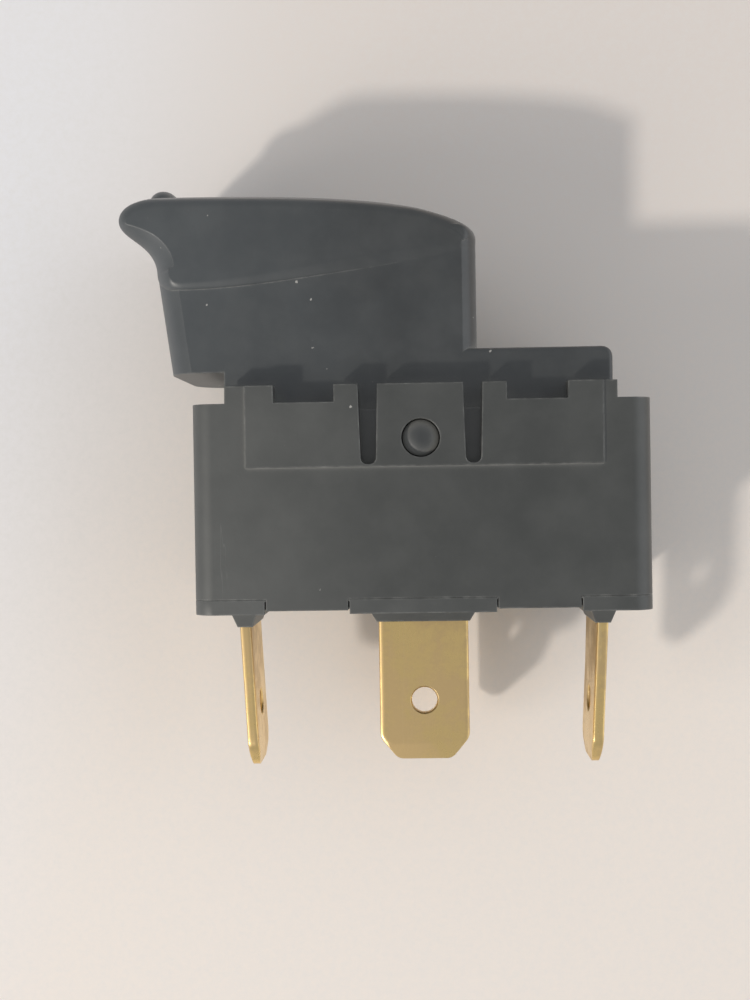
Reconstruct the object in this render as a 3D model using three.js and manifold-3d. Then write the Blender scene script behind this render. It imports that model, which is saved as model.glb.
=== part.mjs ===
// A console paddle switch: a sprung rocker in a clip-together housing that works two see-saw
// contact bars and comes back to its middle by itself. Millimetres, +Z up, +X towards the low
// end of the rocker, origin in the middle of the shoulder plane, the pivot straight below it.
import * as THREE from "three";
import { mergeVertices } from "three/addons/utils/BufferGeometryUtils.js";
import Module from "manifold-3d";

const wasm = await Module();
wasm.setup();

// ---- Housing ----
const bodyLength = 30.5;
const bodyWidth = 18.0;
const bodyDepth = 13.78; // shoulder down to the lower edge
const cornerRadius = 1.4;
const sideWall = 1.2;
const endWall = 1.2;
const cheekHeight = 1.15; // side walls above the shoulder
const cheekLength = 25.9;
const panelProud = 0.25; // raised panel on each side wall
const panelLength = 23.6;
const panelShift = 0.2;
const panelDrop = 4.3; // panel below the shoulder
const notchNear = 5.7; // notches in the top edge of each side wall
const notchFar = 9.7;
const slotInner = 2.8; // slots on both sides of the flexing pivot tab
const slotWidth = 1.33;
const slotTaper = 0.17;
const slotDrop = 4.15;

// ---- Pivot ----
const pivotDrop = 2.45; // pivot below the shoulder
const trunnionRadius = 1.2;
const pivotClearance = 0.08;
const trunnionSink = 0.35; // trunnion ends below the face of the side panel
const hubRadius = 2.6;
const apronHalf = 5.0; // side walls of the rocker behind the slots
const apronDrop = 5.3;
const apronProud = 0.4; // aprons stand out past the walls above them

// ---- Rocker ----
const rockerSideGap = 0.5; // between the head and a side wall
const rockerEndGap = 1.1;
const headProud = 0.25; // the head is wider than the skirt below it, on each side
const skirtOverhang = 1.75; // the skirt reaches past the end of the housing
const lipOverhang = 5.05; // the lip reaches past the end of the housing
const paddleFace = 3.95; // steep face of the paddle above the low step
const stepHeight = 3.58; // low step above the shoulder
const paddleHeight = 13.9;
const seamHeight = 7.85; // lower edge of the head at the neck
const seamRise = 1.7; // how much higher that edge is at the steep face
const lipDrop = 1.6; // lip tip below the top of the paddle
const skirtLift = 1.9; // skirt above the shoulder
const neckLean = 0.137; // sideways run of the neck for each millimetre of height
const crownRise = 1.15;
const skinDepth = 1.2; // how far the rocker's walls go down below the shoulder
const rockerWall = 1.25;
const edgeRound = 0.45;
const stepRound = 1.9; // upright edges of the paddle, seen from above
const neckRound = 2.2; // upright edges of the neck under the lip, seen from above
const pipLength = 2.1;
const pipWidth = 3.2;
const pipHeight = 0.95;
const pipFromTip = 2.0;
const pipSink = 0.05; // the pip's middle below the crown
const ribInset = 1.6; // ribs below the top of the paddle
const domeHeight = 0.36; // domed end of a trunnion

// ---- Contact rows, both worked by the same rocker ----
const frontRow = -2.18;
const rearRow = 3.56;
const barWidth = 3.2;
const barThickness = 0.4;
const barDip = 0.4; // depth of the saddle in the middle of a bar
const saddleHalf = 2.0;
const barEndReach = 1.5; // bar past the middle of its contact
const contactInset = 3.8; // contacts inside the end blades
const movingContactRadius = 1.1;
const fixedContactRadius = 1.2;
const contactHead = 0.4;
const contactDome = 0.15;
const rivetTail = 0.15; // shank above the bar
const rivetRadius = 0.55;
const rivetClearance = 0.06;
const contactGap = 0.79; // open contact, at the middle of the rivets
const fulcrumClearance = 0.05;

// ---- Plungers and their springs ----
const plungerRadius = 1.2;
const plungerLength = 5.2;
const plungerClearance = 0.12;
const plungerBreak = 0.15; // broken edge at the top of a plunger
const tipClearance = 0.1;
const tubeWall = 1.0;
const tubeDrop = 6.2; // mouth of the plunger tubes below the shoulder
const springSeat = 0.9; // closed end of the bore above the shoulder
const springWire = 0.16; // wire radius
const springTurns = 6;
const springEndGap = 0.06;

// ---- Terminals and base ----
const bladeWidth = 6.3;
const bladeThickness = 0.8;
const bladeTip = 24.86; // blade tips below the shoulder
const bladeHole = 0.9;
const bladeHoleRise = 4.15;
const bladeChamfer = 1.25;
const bladeChamferRise = 1.5;
const endBladeInset = 1.8; // end blades inside the cavity
const bladeLean = 3; // degrees by which the end blades lean inwards below the base
const rearBladeX = 2.44;
const strapWidth = 1.2;
const middleStrapY = 0.7;
const strapWallGap = 0.5;
const strapTopDrop = 10.95; // top of the stamped straps below the shoulder
const fulcrumRadius = 0.4;
const padHalf = 1.6;
const layGap = 0.05; // between pieces that lie on each other
const slotClearance = 0.08;
const baseClearance = 0.1;
const flangeThickness = 0.95;
const flangeDrop = 0.24; // flanges below the lower edge of the housing
const flangeStart = 10.5;
const middleTabHalf = 4.86;
const collarDrop = 1.37; // tapered collars below the base
const collarMargin = 0.12;
const collarFlare = 0.82; // a collar's top is wider than its foot, on each side
const endCollarFlare = 0.5; // the same for the end collars, towards the ends of the base
const catchHalf = 1.8;
const catchBump = 0.8;
const catchThickness = 0.8;
const catchHeight = 1.7;
const windowClearance = 0.2;

// ---- Worked out from the above ----
const halfLength = bodyLength / 2;
const halfWidth = bodyWidth / 2;
const cavityX = halfLength - endWall;
const cavityY = halfWidth - sideWall;
const headHalf = cavityY - rockerSideGap;
const skirtHalf = headHalf - headProud;
const rockerEnd = cavityX - rockerEndGap;
const endBladeX = cavityX - endBladeInset;
const contactX = endBladeX - contactInset;
const strapTop = -strapTopDrop;
const strapBottom = strapTop - bladeThickness;
const floorTop = strapBottom - layGap;
const floorBottom = -bodyDepth;
const fixedTop = strapTop + layGap + contactHead;
const movingBottom = fixedTop + contactGap;
const armBottom = movingBottom + contactHead + layGap;
const saddleBottom = armBottom - barDip;
const saddleTop = saddleBottom + barThickness;
const fulcrumTop = saddleBottom - fulcrumClearance;
const plungerTip = saddleTop + tipClearance;
const plungerTop = plungerTip + plungerLength;
const boreRadius = plungerRadius + plungerClearance;
const flangeBottom = floorBottom - flangeDrop;
const flangeTop = flangeBottom + flangeThickness;
const collarBottom = floorBottom - collarDrop;
const OVERCUT = 1; // a cutting tool goes this far past the face it opens
const PIVOT_SEGMENTS = 12; // half the sides of the pivot hole

// ---- Geometry helpers ----
const toSolid = (geometry) => {
  const bare = new THREE.BufferGeometry();
  bare.setAttribute("position", geometry.getAttribute("position"));
  bare.setIndex(geometry.index);
  const merged = mergeVertices(bare, 1e-4);
  const corners = merged.index.array;
  const kept = [];
  for (let i = 0; i < corners.length; i += 3) {
    const [a, b, c] = corners.subarray(i, i + 3);
    if (a !== b && b !== c && c !== a) {
      kept.push(a, b, c); // triangles at a pole or a seam may have closed up
    }
  }
  const vertProperties = new Float32Array(merged.attributes.position.array);
  const triVerts = new Uint32Array(kept);
  return new wasm.Manifold(new wasm.Mesh({ numProp: 3, vertProperties, triVerts }));
};

const toGeometry = (solid) => {
  const { numProp, numVert, vertProperties, triVerts } = solid.getMesh();
  const positions = new Float32Array(numVert * 3);
  for (let i = 0; i < numVert; i += 1) {
    positions.set(vertProperties.subarray(i * numProp, i * numProp + 3), i * 3);
  }
  const geometry = new THREE.BufferGeometry();
  geometry.setAttribute("position", new THREE.BufferAttribute(positions, 3));
  geometry.setIndex(new THREE.BufferAttribute(triVerts, 1));
  geometry.computeVertexNormals();
  return geometry;
};

const join = (solids) => solids.reduce((whole, solid) => whole.add(solid));

// A block between two corners.
const block = (x0, x1, y0, y1, z0, z1) => {
  const geometry = new THREE.BoxGeometry(x1 - x0, y1 - y0, z1 - z0);
  geometry.translate((x0 + x1) / 2, (y0 + y1) / 2, (z0 + z1) / 2);
  return toSolid(geometry);
};

// An outline with corners [u, v, radius]; a corner without a radius stays sharp.
const outline = (corners) => {
  const shape = new THREE.Shape();
  const points = corners.map(([u, v]) => new THREE.Vector2(u, v));
  const goTo = (i, u, v) => {
    if (i === 0) {
      shape.moveTo(u, v);
    } else {
      shape.lineTo(u, v);
    }
  };
  corners.forEach(([u, v, radius = 0], i) => {
    const corner = points[i];
    if (radius === 0) {
      goTo(i, u, v);
      return;
    }
    const before = points.at(i - 1).clone().sub(corner).normalize();
    const after = points[(i + 1) % points.length].clone().sub(corner).normalize();
    const half = Math.acos(THREE.MathUtils.clamp(before.dot(after), -1, 1)) / 2;
    const toCentre = before.clone().add(after).setLength(radius / Math.sin(half));
    const centre = corner.clone().add(toCentre);
    const run = radius / Math.tan(half);
    const start = before.clone().multiplyScalar(run).add(corner).sub(centre);
    const end = after.clone().multiplyScalar(run).add(corner).sub(centre);
    const clockwise = before.cross(after) > 0;
    goTo(i, centre.x + start.x, centre.y + start.y);
    shape.absarc(centre.x, centre.y, radius, start.angle(), end.angle(), clockwise);
  });
  shape.closePath();
  return shape;
};

const rectangle = (u0, u1, v0, v1, radius = 0) =>
  outline([[u0, v0, radius], [u1, v0, radius], [u1, v1, radius], [u0, v1, radius]]);

const extrude = (shape, depth, round = 0, curveSegments = 5, steps = 1) =>
  new THREE.ExtrudeGeometry(shape, {
    depth: depth - 2 * round,
    steps,
    curveSegments,
    bevelEnabled: round > 0,
    bevelThickness: round,
    bevelSize: round,
    bevelOffset: -round,
    bevelSegments: 3,
  }).translate(0, 0, round);

// A prism on the outline (x, z) from y0 to y1.
const prismAlongY = (shape, y0, y1, round = 0, curveSegments = 5) =>
  toSolid(extrude(shape, y1 - y0, round, curveSegments).rotateX(Math.PI / 2).translate(0, y1, 0));

// A prism on the outline (x, y) from z0 to z1.
const prismAlongZ = (shape, z0, z1) => toSolid(extrude(shape, z1 - z0).translate(0, 0, z0));

// Turns an extrusion so that its outline lies in (y, z) and its depth runs from x0.
const alongX = (x0) => new THREE.Matrix4().set(0, 0, 1, x0, 1, 0, 0, 0, 0, 1, 0, 0, 0, 0, 0, 1);

// A prism on the outline (y, z) from x0 to x1.
const prismAlongX = (shape, x0, x1) => toSolid(extrude(shape, x1 - x0).applyMatrix4(alongX(x0)));

// A turned solid about an upright axis, from a profile [radius, z] that starts and ends on it.
const turned = (profile, x, y, segments = 20) => {
  const points = profile.map(([radius, z]) => new THREE.Vector2(radius, z));
  const geometry = new THREE.LatheGeometry(points, segments).rotateX(Math.PI / 2);
  return toSolid(geometry.translate(x, y, 0));
};

// Profile points of a round nose, from its tip on the axis up to its full radius.
const roundNose = (radius, tip, steps = 4) => {
  const points = [[0, tip]];
  for (let i = 1; i <= steps; i += 1) {
    const angle = (Math.PI / 2) * (i / steps);
    points.push([radius * Math.sin(angle), tip + radius * (1 - Math.cos(angle))]);
  }
  return points;
};

const rod = (radius, x, y, z0, z1, segments = 20) =>
  turned([[0, z0], [radius, z0], [radius, z1], [0, z1]], x, y, segments);

const mirrorPair = (make) => join([make(-1), make(1)]);

// The two ends of a stretch on the side given by `sign`, in rising order.
const span = (sign, near, far) => (sign > 0 ? [near, far] : [-far, -near]);

// ---- Housing ----
const sideSlot = (sign) => {
  const inner = slotInner * sign;
  const outer = (slotInner + slotWidth) * sign;
  const lean = slotTaper * sign;
  const foot = slotWidth / 2 - slotTaper - 0.05;
  const top = cheekHeight + OVERCUT;
  const corners = [
    [inner, top],
    [inner + lean, -slotDrop, foot],
    [outer - lean, -slotDrop, foot],
    [outer, top],
  ];
  return outline(sign > 0 ? corners : corners.reverse());
};

// Everything that is taken out of the outer block: the cavity, the shoulders and notches, the slots
// and the pivot hole, the room for the base's flanges and tabs, and the windows for its catches.
const housingCuts = () => {
  const low = -bodyDepth - OVERCUT;
  const high = cheekHeight + OVERCUT;
  const reach = halfLength + OVERCUT;
  const through = halfWidth + panelProud + OVERCUT;
  const across = ([x0, x1], z0, z1) => block(x0, x1, -through, through, z0, z1);
  const cuts = [block(-cavityX, cavityX, -cavityY, cavityY, low, high)];
  for (const sign of [-1, 1]) {
    cuts.push(across(span(sign, cheekLength / 2, reach), 0, high));
    cuts.push(across(span(sign, notchNear, notchFar), 0, high));
    cuts.push(across(span(sign, flangeStart - baseClearance, reach), low, flangeTop + layGap));
    cuts.push(prismAlongY(sideSlot(sign), -through, through));
  }
  const tab = middleTabHalf + baseClearance;
  cuts.push(across([-tab, tab], low, flangeTop + layGap));
  const hole = new THREE.Shape().absarc(0, -pivotDrop, trunnionRadius + pivotClearance, 0, 2 * Math.PI);
  cuts.push(prismAlongY(hole, -through, through, 0, PIVOT_SEGMENTS));
  const catchY = catchHalf + windowClearance;
  const windowTop = floorTop + catchHeight + windowClearance;
  cuts.push(block(-reach, reach, -catchY, catchY, floorTop + windowClearance, windowTop));
  return cuts;
};

const makeHousing = () => {
  const shell = prismAlongZ(
    rectangle(-halfLength, halfLength, -halfWidth, halfWidth, cornerRadius),
    -bodyDepth,
    cheekHeight,
  );
  const panelY = halfWidth + panelProud;
  const panels = block(
    panelShift - panelLength / 2,
    panelShift + panelLength / 2,
    -panelY,
    panelY,
    -panelDrop,
    cheekHeight,
  );
  return housingCuts().reduce((body, cut) => body.subtract(cut), shell.add(panels));
};

// ---- Rocker ----
// Top edge of the paddle from its steep face, over the back, round the lip and down to the neck.
const paddleCurve = (shape) => {
  const tip = -halfLength - lipOverhang;
  const neck = neckX(paddleHeight - 4.35);
  const top = paddleHeight;
  shape.bezierCurveTo(paddleFace, top - 2.4, paddleFace - 0.9, top - 1.75, paddleFace - 4, top - 1);
  shape.bezierCurveTo(paddleFace - 8.5, top - 0.15, tip + 9.2, top, tip + 2.6, top);
  shape.bezierCurveTo(tip + 0.9, top, tip - 0.1, top - 0.65, tip, top - lipDrop);
  shape.bezierCurveTo(tip + 0.15, top - 2.55, neck - 0.3, top - 2.75, neck, top - 4.35);
};

// The neck leans: it stands further out the higher it is above the skirt.
const neckX = (z) => -halfLength - skirtOverhang - neckLean * (z - skirtLift);

const headOutline = () => {
  const shape = new THREE.Shape();
  const neck = neckX(seamHeight);
  shape.moveTo(paddleFace, seamHeight + seamRise);
  paddleCurve(shape);
  shape.lineTo(neck, seamHeight);
  shape.bezierCurveTo(
    neck + 7.5,
    seamHeight - 0.1,
    neck + 12,
    seamHeight + seamRise - 0.3,
    paddleFace,
    seamHeight + seamRise,
  );
  return shape;
};

// Everything under the head; its top edge runs inside the head.
const coreOutline = () => {
  const shape = new THREE.Shape();
  const toe = skirtLift + 0.4;
  const neck = neckX(seamHeight);
  shape.moveTo(paddleFace, seamHeight + seamRise);
  shape.lineTo(paddleFace - 0.5, seamHeight + seamRise + 0.6);
  shape.lineTo(neck + 0.8, seamHeight + 0.6);
  shape.lineTo(neck, seamHeight);
  shape.lineTo(neckX(toe + 0.5), toe + 0.5);
  shape.quadraticCurveTo(neckX(toe), toe, neckX(toe) + 0.5, toe - 0.05);
  shape.lineTo(-rockerEnd - 0.25, skirtLift);
  shape.lineTo(-rockerEnd - 0.25, -skinDepth);
  shape.lineTo(-hubRadius - 0.6, -skinDepth);
  shape.absarc(0, -pivotDrop, hubRadius, Math.PI, 2 * Math.PI, false);
  shape.lineTo(hubRadius + 0.6, -skinDepth);
  shape.lineTo(rockerEnd, -skinDepth);
  shape.lineTo(rockerEnd, stepHeight - 0.7);
  shape.quadraticCurveTo(rockerEnd, stepHeight, rockerEnd - 0.7, stepHeight);
  shape.lineTo(paddleFace, stepHeight + 0.3);
  return shape;
};

// Shapes the plain prism: a crown across the width, nothing at the sides and most in the middle,
// and rounded upright edges on the neck, which fade out towards the tip of the lip.
const crowned = (geometry) => {
  const position = geometry.getAttribute("position");
  const { smoothstep } = THREE.MathUtils;
  for (let i = 0; i < position.count; i += 1) {
    const [x, y, z] = [position.getX(i), Math.abs(position.getY(i)), position.getZ(i)];
    const across = Math.min(1, y / headHalf);
    const raised = crownRise * smoothstep(z, paddleHeight - 5.5, paddleHeight) * (1 - across * across);
    const corner = Math.min(1, Math.max(0, y - headHalf + neckRound) / neckRound);
    const belowLip = 1 - smoothstep(z, paddleHeight - 4.5, paddleHeight - 1);
    const nearNeck = 1 - smoothstep(x, neckX(0), -rockerEnd);
    const rolled = neckRound * 0.8 * belowLip * nearNeck * (1 - Math.sqrt(1 - corner * corner));
    position.setX(i, x + rolled);
    position.setZ(i, z + raised);
  }
  return geometry;
};

const crownedPrism = (shape, half, round) => {
  const geometry = extrude(shape, 2 * half, round, 5, 14);
  return toSolid(crowned(geometry.rotateX(Math.PI / 2).translate(0, half, 0)));
};

const rockerHollow = () => {
  const inside = skirtHalf - rockerWall;
  const left = -rockerEnd + 1;
  const roof = paddleHeight - 1.75;
  const face = paddleFace - rockerWall;
  const below = -pivotDrop - hubRadius - OVERCUT;
  const shape = outline([
    [left, below],
    [rockerEnd - rockerWall, below],
    [rockerEnd - rockerWall, stepHeight - rockerWall, 0.5],
    [face, stepHeight - rockerWall],
    [face, roof - 3.2, 1],
    [face - 2.4, roof - 1.1, 2],
    [left, roof, 1],
  ]);
  const pocketFloor = skirtLift + 0.4 + rockerWall;
  const pocketLeft = neckX(pocketFloor) + rockerWall + 0.1;
  const pocket = block(pocketLeft, left + 0.2, -inside, inside, pocketFloor, paddleHeight - 4.8);
  return prismAlongY(shape, -inside, inside).add(pocket);
};

// Cross rib with the two plunger tubes, a rib along the middle that stiffens the roof, and the
// aprons of the side walls that stand behind the housing's slots.
const rockerInside = () => {
  const inside = skirtHalf - rockerWall / 2;
  const rib = rockerWall / 2;
  const tube = boreRadius + tubeWall;
  const roof = paddleHeight - ribInset;
  const rear = -rockerEnd + 0.5;
  const ridge = (frontRow + rearRow) / 2;
  const apron = (sign) => {
    const [y0, y1] = span(sign, skirtHalf - rockerWall, skirtHalf + apronProud);
    return block(-apronHalf, apronHalf, y0, y1, -apronDrop, -skinDepth + layGap);
  };
  return join([
    block(-rib, rib, -inside, inside, -pivotDrop, paddleHeight - 2.2),
    block(rear, paddleFace - 0.5, ridge - rib, ridge + rib, stepHeight, paddleHeight - 4.5),
    block(rear, paddleFace - 4.5, ridge - rib, ridge + rib, stepHeight, roof),
    ...[frontRow, rearRow].map((y) => rod(tube, 0, y, -tubeDrop, springSeat + tubeWall)),
    mirrorPair(apron),
  ]);
};

// One trunnion with a shallow domed end, on the side given by `sign`.
const trunnion = (sign) => {
  const root = skirtHalf - 0.4;
  const end = halfWidth + panelProud - trunnionSink;
  const profile = [
    [0, root],
    [trunnionRadius, root],
    [trunnionRadius, end - domeHeight],
    [trunnionRadius * 0.85, end - domeHeight * 0.55],
    [trunnionRadius * 0.55, end - domeHeight * 0.17],
    [0, end],
  ];
  const points = profile.map(([radius, y]) => new THREE.Vector2(radius, y));
  const geometry = new THREE.LatheGeometry(points, 24).rotateX(sign > 0 ? 0 : Math.PI);
  return toSolid(geometry.translate(0, 0, -pivotDrop));
};

const makeRocker = () => {
  const head = crownedPrism(headOutline(), headHalf, edgeRound);
  const core = crownedPrism(coreOutline(), skirtHalf, edgeRound * 0.6);
  const reach = halfLength + lipOverhang + OVERCUT;
  const plan = (right) => rectangle(-reach, right, -headHalf, headHalf, stepRound);
  const above = stepHeight + 0.3;
  const over = prismAlongZ(plan(paddleFace), above - 0.35, paddleHeight + 3);
  const under = block(-reach, reach, -headHalf, headHalf, -pivotDrop - hubRadius - 1, above);
  const trimmed = head.add(core).intersect(over.add(under));
  const bores = [frontRow, rearRow].map((y) => rod(boreRadius, 0, y, -tubeDrop - OVERCUT, springSeat));
  const pip = new THREE.SphereGeometry(1, 16, 10).scale(pipLength / 2, pipWidth / 2, pipHeight);
  pip.translate(-halfLength - lipOverhang + pipFromTip, 0, paddleHeight + crownRise - pipSink);
  const hollowed = trimmed.subtract(rockerHollow());
  const body = join([hollowed, rockerInside(), toSolid(pip), mirrorPair(trunnion)]);
  return bores.reduce((rocker, bore) => rocker.subtract(bore), body);
};

// ---- Terminals ----
// Outline of a blade below the shoulder line `top`, centred on `middle`, with a hole and a cut tip.
const bladeOutline = (middle, top) => {
  const half = bladeWidth / 2;
  const shape = outline([
    [middle - half, top],
    [middle - half, -bladeTip + bladeChamferRise],
    [middle - half + bladeChamfer, -bladeTip],
    [middle + half - bladeChamfer, -bladeTip],
    [middle + half, -bladeTip + bladeChamferRise],
    [middle + half, top],
  ]);
  const hole = new THREE.Path();
  hole.absarc(middle, -bladeTip + bladeHoleRise, bladeHole, 0, 2 * Math.PI, true);
  shape.holes.push(hole);
  return shape;
};

const halfBlade = bladeThickness / 2;
const strap = (x0, x1, y0, y1) => block(x0, x1, y0, y1, strapBottom, strapTop);
const rivetHole = (x, y) =>
  rod(rivetRadius + rivetClearance, x, y, strapBottom - OVERCUT, strapTop + OVERCUT);
const shoulderZ = floorBottom + 0.7; // where a middle blade narrows inside the base
const neckHalf = 1.55;

// An end blade: upright inside the base and leaning towards the middle below its collar.
const endBlade = (x) => {
  const half = bladeWidth / 2;
  const upright = rectangle(frontRow - half, frontRow + half, collarBottom, strapTop);
  const shape = bladeOutline(frontRow, collarBottom);
  const geometry = extrude(shape, bladeThickness).applyMatrix4(alongX(x - halfBlade));
  const position = geometry.getAttribute("position");
  const lean = -Math.sign(x) * Math.tan(THREE.MathUtils.degToRad(bladeLean));
  for (let i = 0; i < position.count; i += 1) {
    position.setX(i, position.getX(i) + lean * (collarBottom - position.getZ(i)));
  }
  return prismAlongX(upright, x - halfBlade, x + halfBlade).add(toSolid(geometry));
};

// Live stamping: left blade, front left pad, and a strap between the fulcrums to the rear right pad.
const makeLeftTerminal = () => {
  const outer = -endBladeX - halfBlade;
  const trunk = -contactX - padHalf;
  const strapEdge = middleStrapY + strapWidth / 2;
  const body = join([
    endBlade(-endBladeX),
    strap(outer, -contactX + padHalf, frontRow - padHalf, frontRow + padHalf),
    strap(outer, trunk, frontRow - padHalf, strapEdge),
    strap(outer, contactX + padHalf, middleStrapY - strapWidth / 2, strapEdge),
    strap(contactX - padHalf, contactX + padHalf, middleStrapY, rearRow + padHalf),
  ]);
  return body.subtract(rivetHole(-contactX, frontRow)).subtract(rivetHole(contactX, rearRow));
};

// Return stamping: right blade, front right pad, and a strap round the back to the rear left pad.
const makeRightTerminal = () => {
  const outer = endBladeX + halfBlade;
  const strapFar = cavityY - strapWallGap;
  const body = join([
    endBlade(endBladeX),
    strap(contactX - padHalf, outer, frontRow - padHalf, frontRow + padHalf),
    strap(outer - strapWidth, outer, frontRow - padHalf, strapFar),
    strap(-contactX - padHalf, outer, strapFar - strapWidth, strapFar),
    strap(-contactX - padHalf, -contactX + padHalf, rearRow - padHalf, strapFar),
  ]);
  return body.subtract(rivetHole(contactX, frontRow)).subtract(rivetHole(-contactX, rearRow));
};

// Front motor lead: its own upper edge is the round nose that the front bar rocks on.
const makeCentreTerminal = () => {
  const nose = outline([
    [-neckHalf, shoulderZ - 0.5],
    [neckHalf, shoulderZ - 0.5],
    [neckHalf, strapTop],
    [0, fulcrumTop + 0.12, fulcrumRadius],
    [-neckHalf, strapTop],
  ]);
  const blade = prismAlongY(bladeOutline(0, shoulderZ), frontRow - halfBlade, frontRow + halfBlade);
  return blade.add(prismAlongY(nose, frontRow - halfBlade, frontRow + halfBlade));
};

// Rear motor lead: stands across the switch, then steps sideways to the rear bar's fulcrum.
const makeRearTerminal = () => {
  const y0 = rearRow - neckHalf;
  const y1 = rearRow + neckHalf;
  const riser = outline([
    [-halfBlade, strapBottom],
    [halfBlade, strapBottom],
    [halfBlade, fulcrumTop, halfBlade * 0.9],
    [-halfBlade, fulcrumTop, halfBlade * 0.9],
  ]);
  const x0 = rearBladeX - halfBlade;
  const x1 = rearBladeX + halfBlade;
  return join([
    prismAlongX(bladeOutline(rearRow, shoulderZ), x0, x1),
    block(x0, x1, y0, y1, shoulderZ - 0.5, strapTop),
    strap(-halfBlade, x1, y0, y1),
    prismAlongY(riser, y0 + 0.2, y1 - 0.2),
  ]);
};

// ---- Base ----
// A tapered collar round a blade: a block that widens on every side towards its top.
const collar = (x, y, halfX, halfY, flareX = collarFlare) => {
  const height = collarDrop + layGap;
  const geometry = new THREE.BoxGeometry(2 * halfX, 2 * halfY, height);
  const position = geometry.getAttribute("position");
  for (let i = 0; i < position.count; i += 1) {
    if (position.getZ(i) > 0) {
      position.setX(i, position.getX(i) + Math.sign(position.getX(i)) * flareX);
      position.setY(i, position.getY(i) + Math.sign(position.getY(i)) * collarFlare);
    }
  }
  return toSolid(geometry.translate(x, y, floorBottom + layGap - height / 2));
};

const baseSlots = () => {
  const low = collarBottom - OVERCUT;
  const high = floorTop + OVERCUT;
  const wide = bladeWidth / 2 + slotClearance;
  const thin = halfBlade + slotClearance;
  const neck = neckHalf + slotClearance;
  const shoulder = shoulderZ + slotClearance;
  return [
    block(-endBladeX - thin, -endBladeX + thin, frontRow - wide, frontRow + wide, low, high),
    block(endBladeX - thin, endBladeX + thin, frontRow - wide, frontRow + wide, low, high),
    block(-wide, wide, frontRow - thin, frontRow + thin, low, shoulder),
    block(-neck, neck, frontRow - thin, frontRow + thin, low, high),
    block(rearBladeX - thin, rearBladeX + thin, rearRow - wide, rearRow + wide, low, shoulder),
    block(rearBladeX - thin, rearBladeX + thin, rearRow - neck, rearRow + neck, low, high),
  ];
};

// Tongue with an outward bump that clicks into the window of an end wall.
const baseCatch = (sign) => {
  const outer = cavityX - baseClearance;
  const inner = outer - catchThickness;
  const top = floorTop + catchHeight;
  const corners = [
    [sign * inner, floorTop - 0.5],
    [sign * outer, floorTop - 0.5],
    [sign * outer, floorTop + 2 * windowClearance],
    [sign * (outer + catchBump), floorTop + 2 * windowClearance],
    [sign * outer, top],
    [sign * inner, top],
  ];
  return prismAlongY(outline(sign > 0 ? corners : corners.reverse()), -catchHalf, catchHalf);
};

const makeBase = () => {
  const x = cavityX - baseClearance;
  const y = cavityY - baseClearance;
  const thin = halfBlade + collarMargin;
  const wide = bladeWidth / 2 + collarMargin;
  const footprint = rectangle(-halfLength, halfLength, -halfWidth, halfWidth, cornerRadius);
  const gap = halfWidth + OVERCUT;
  const cutBetween = (sign) => {
    const [x0, x1] = span(sign, middleTabHalf, flangeStart);
    return block(x0, x1, -gap, gap, flangeBottom - OVERCUT, flangeTop + OVERCUT);
  };
  const flanges = prismAlongZ(footprint, flangeBottom, flangeTop).subtract(mirrorPair(cutBetween));
  const body = join([
    flanges,
    block(-x, x, -y, y, floorBottom, floorTop),
    mirrorPair(baseCatch),
    collar(-endBladeX, frontRow, thin, wide, endCollarFlare),
    collar(endBladeX, frontRow, thin, wide, endCollarFlare),
    collar(0, frontRow, wide, thin),
    collar(rearBladeX, rearRow, thin, wide),
  ]);
  return baseSlots().reduce((base, slot) => base.subtract(slot), body);
};

// ---- Contacts ----
// Bent strip: a saddle in the middle between two level arms, with a hole for each contact's rivet.
const makeBar = (y) => {
  const end = contactX + barEndReach;
  const armTop = armBottom + barThickness;
  const corners = [
    [-end, armBottom],
    [-saddleHalf, armBottom],
    [0, saddleBottom],
    [saddleHalf, armBottom],
    [end, armBottom],
    [end, armTop],
    [saddleHalf, armTop],
    [0, saddleTop],
    [-saddleHalf, armTop],
    [-end, armTop],
  ];
  const strip = prismAlongY(outline(corners), y - barWidth / 2, y + barWidth / 2);
  const hole = (sign) =>
    rod(rivetRadius + rivetClearance, sign * contactX, y, armBottom - OVERCUT, armBottom + OVERCUT);
  return strip.subtract(mirrorPair(hole));
};

// Rivet under a bar: domed head below, shank up through the bar.
const makeMovingContact = (x, y) => {
  const seat = armBottom - layGap;
  const tail = armBottom + barThickness + rivetTail;
  return turned(
    [
      [0, movingBottom],
      [movingContactRadius * 0.6, movingBottom + contactDome / 3],
      [movingContactRadius, movingBottom + contactDome],
      [movingContactRadius, seat],
      [rivetRadius, seat],
      [rivetRadius, tail],
      [0, tail],
    ],
    x,
    y,
  );
};

// Rivet on a pad: flat head above, shank down through the pad.
const makeFixedContact = (x, y) =>
  turned(
    [
      [0, strapBottom],
      [rivetRadius, strapBottom],
      [rivetRadius, strapTop + layGap],
      [fixedContactRadius, strapTop + layGap],
      [fixedContactRadius, fixedTop - 0.1],
      [fixedContactRadius - 0.1, fixedTop],
      [0, fixedTop],
    ],
    x,
    y,
  );

// ---- Plungers and springs ----
const makePlunger = (y) =>
  turned(
    [
      ...roundNose(plungerRadius, plungerTip),
      [plungerRadius, plungerTop - plungerBreak],
      [plungerRadius - plungerBreak, plungerTop],
      [0, plungerTop],
    ],
    0,
    y,
  );

class Helix extends THREE.Curve {
  constructor(radius, low, high, turns) {
    super();
    Object.assign(this, { radius, low, high, turns });
  }

  getPoint(t, target = new THREE.Vector3()) {
    const angle = 2 * Math.PI * this.turns * t;
    const x = this.radius * Math.cos(angle);
    const y = this.radius * Math.sin(angle);
    return target.set(x, y, this.low + (this.high - this.low) * t);
  }
}

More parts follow.
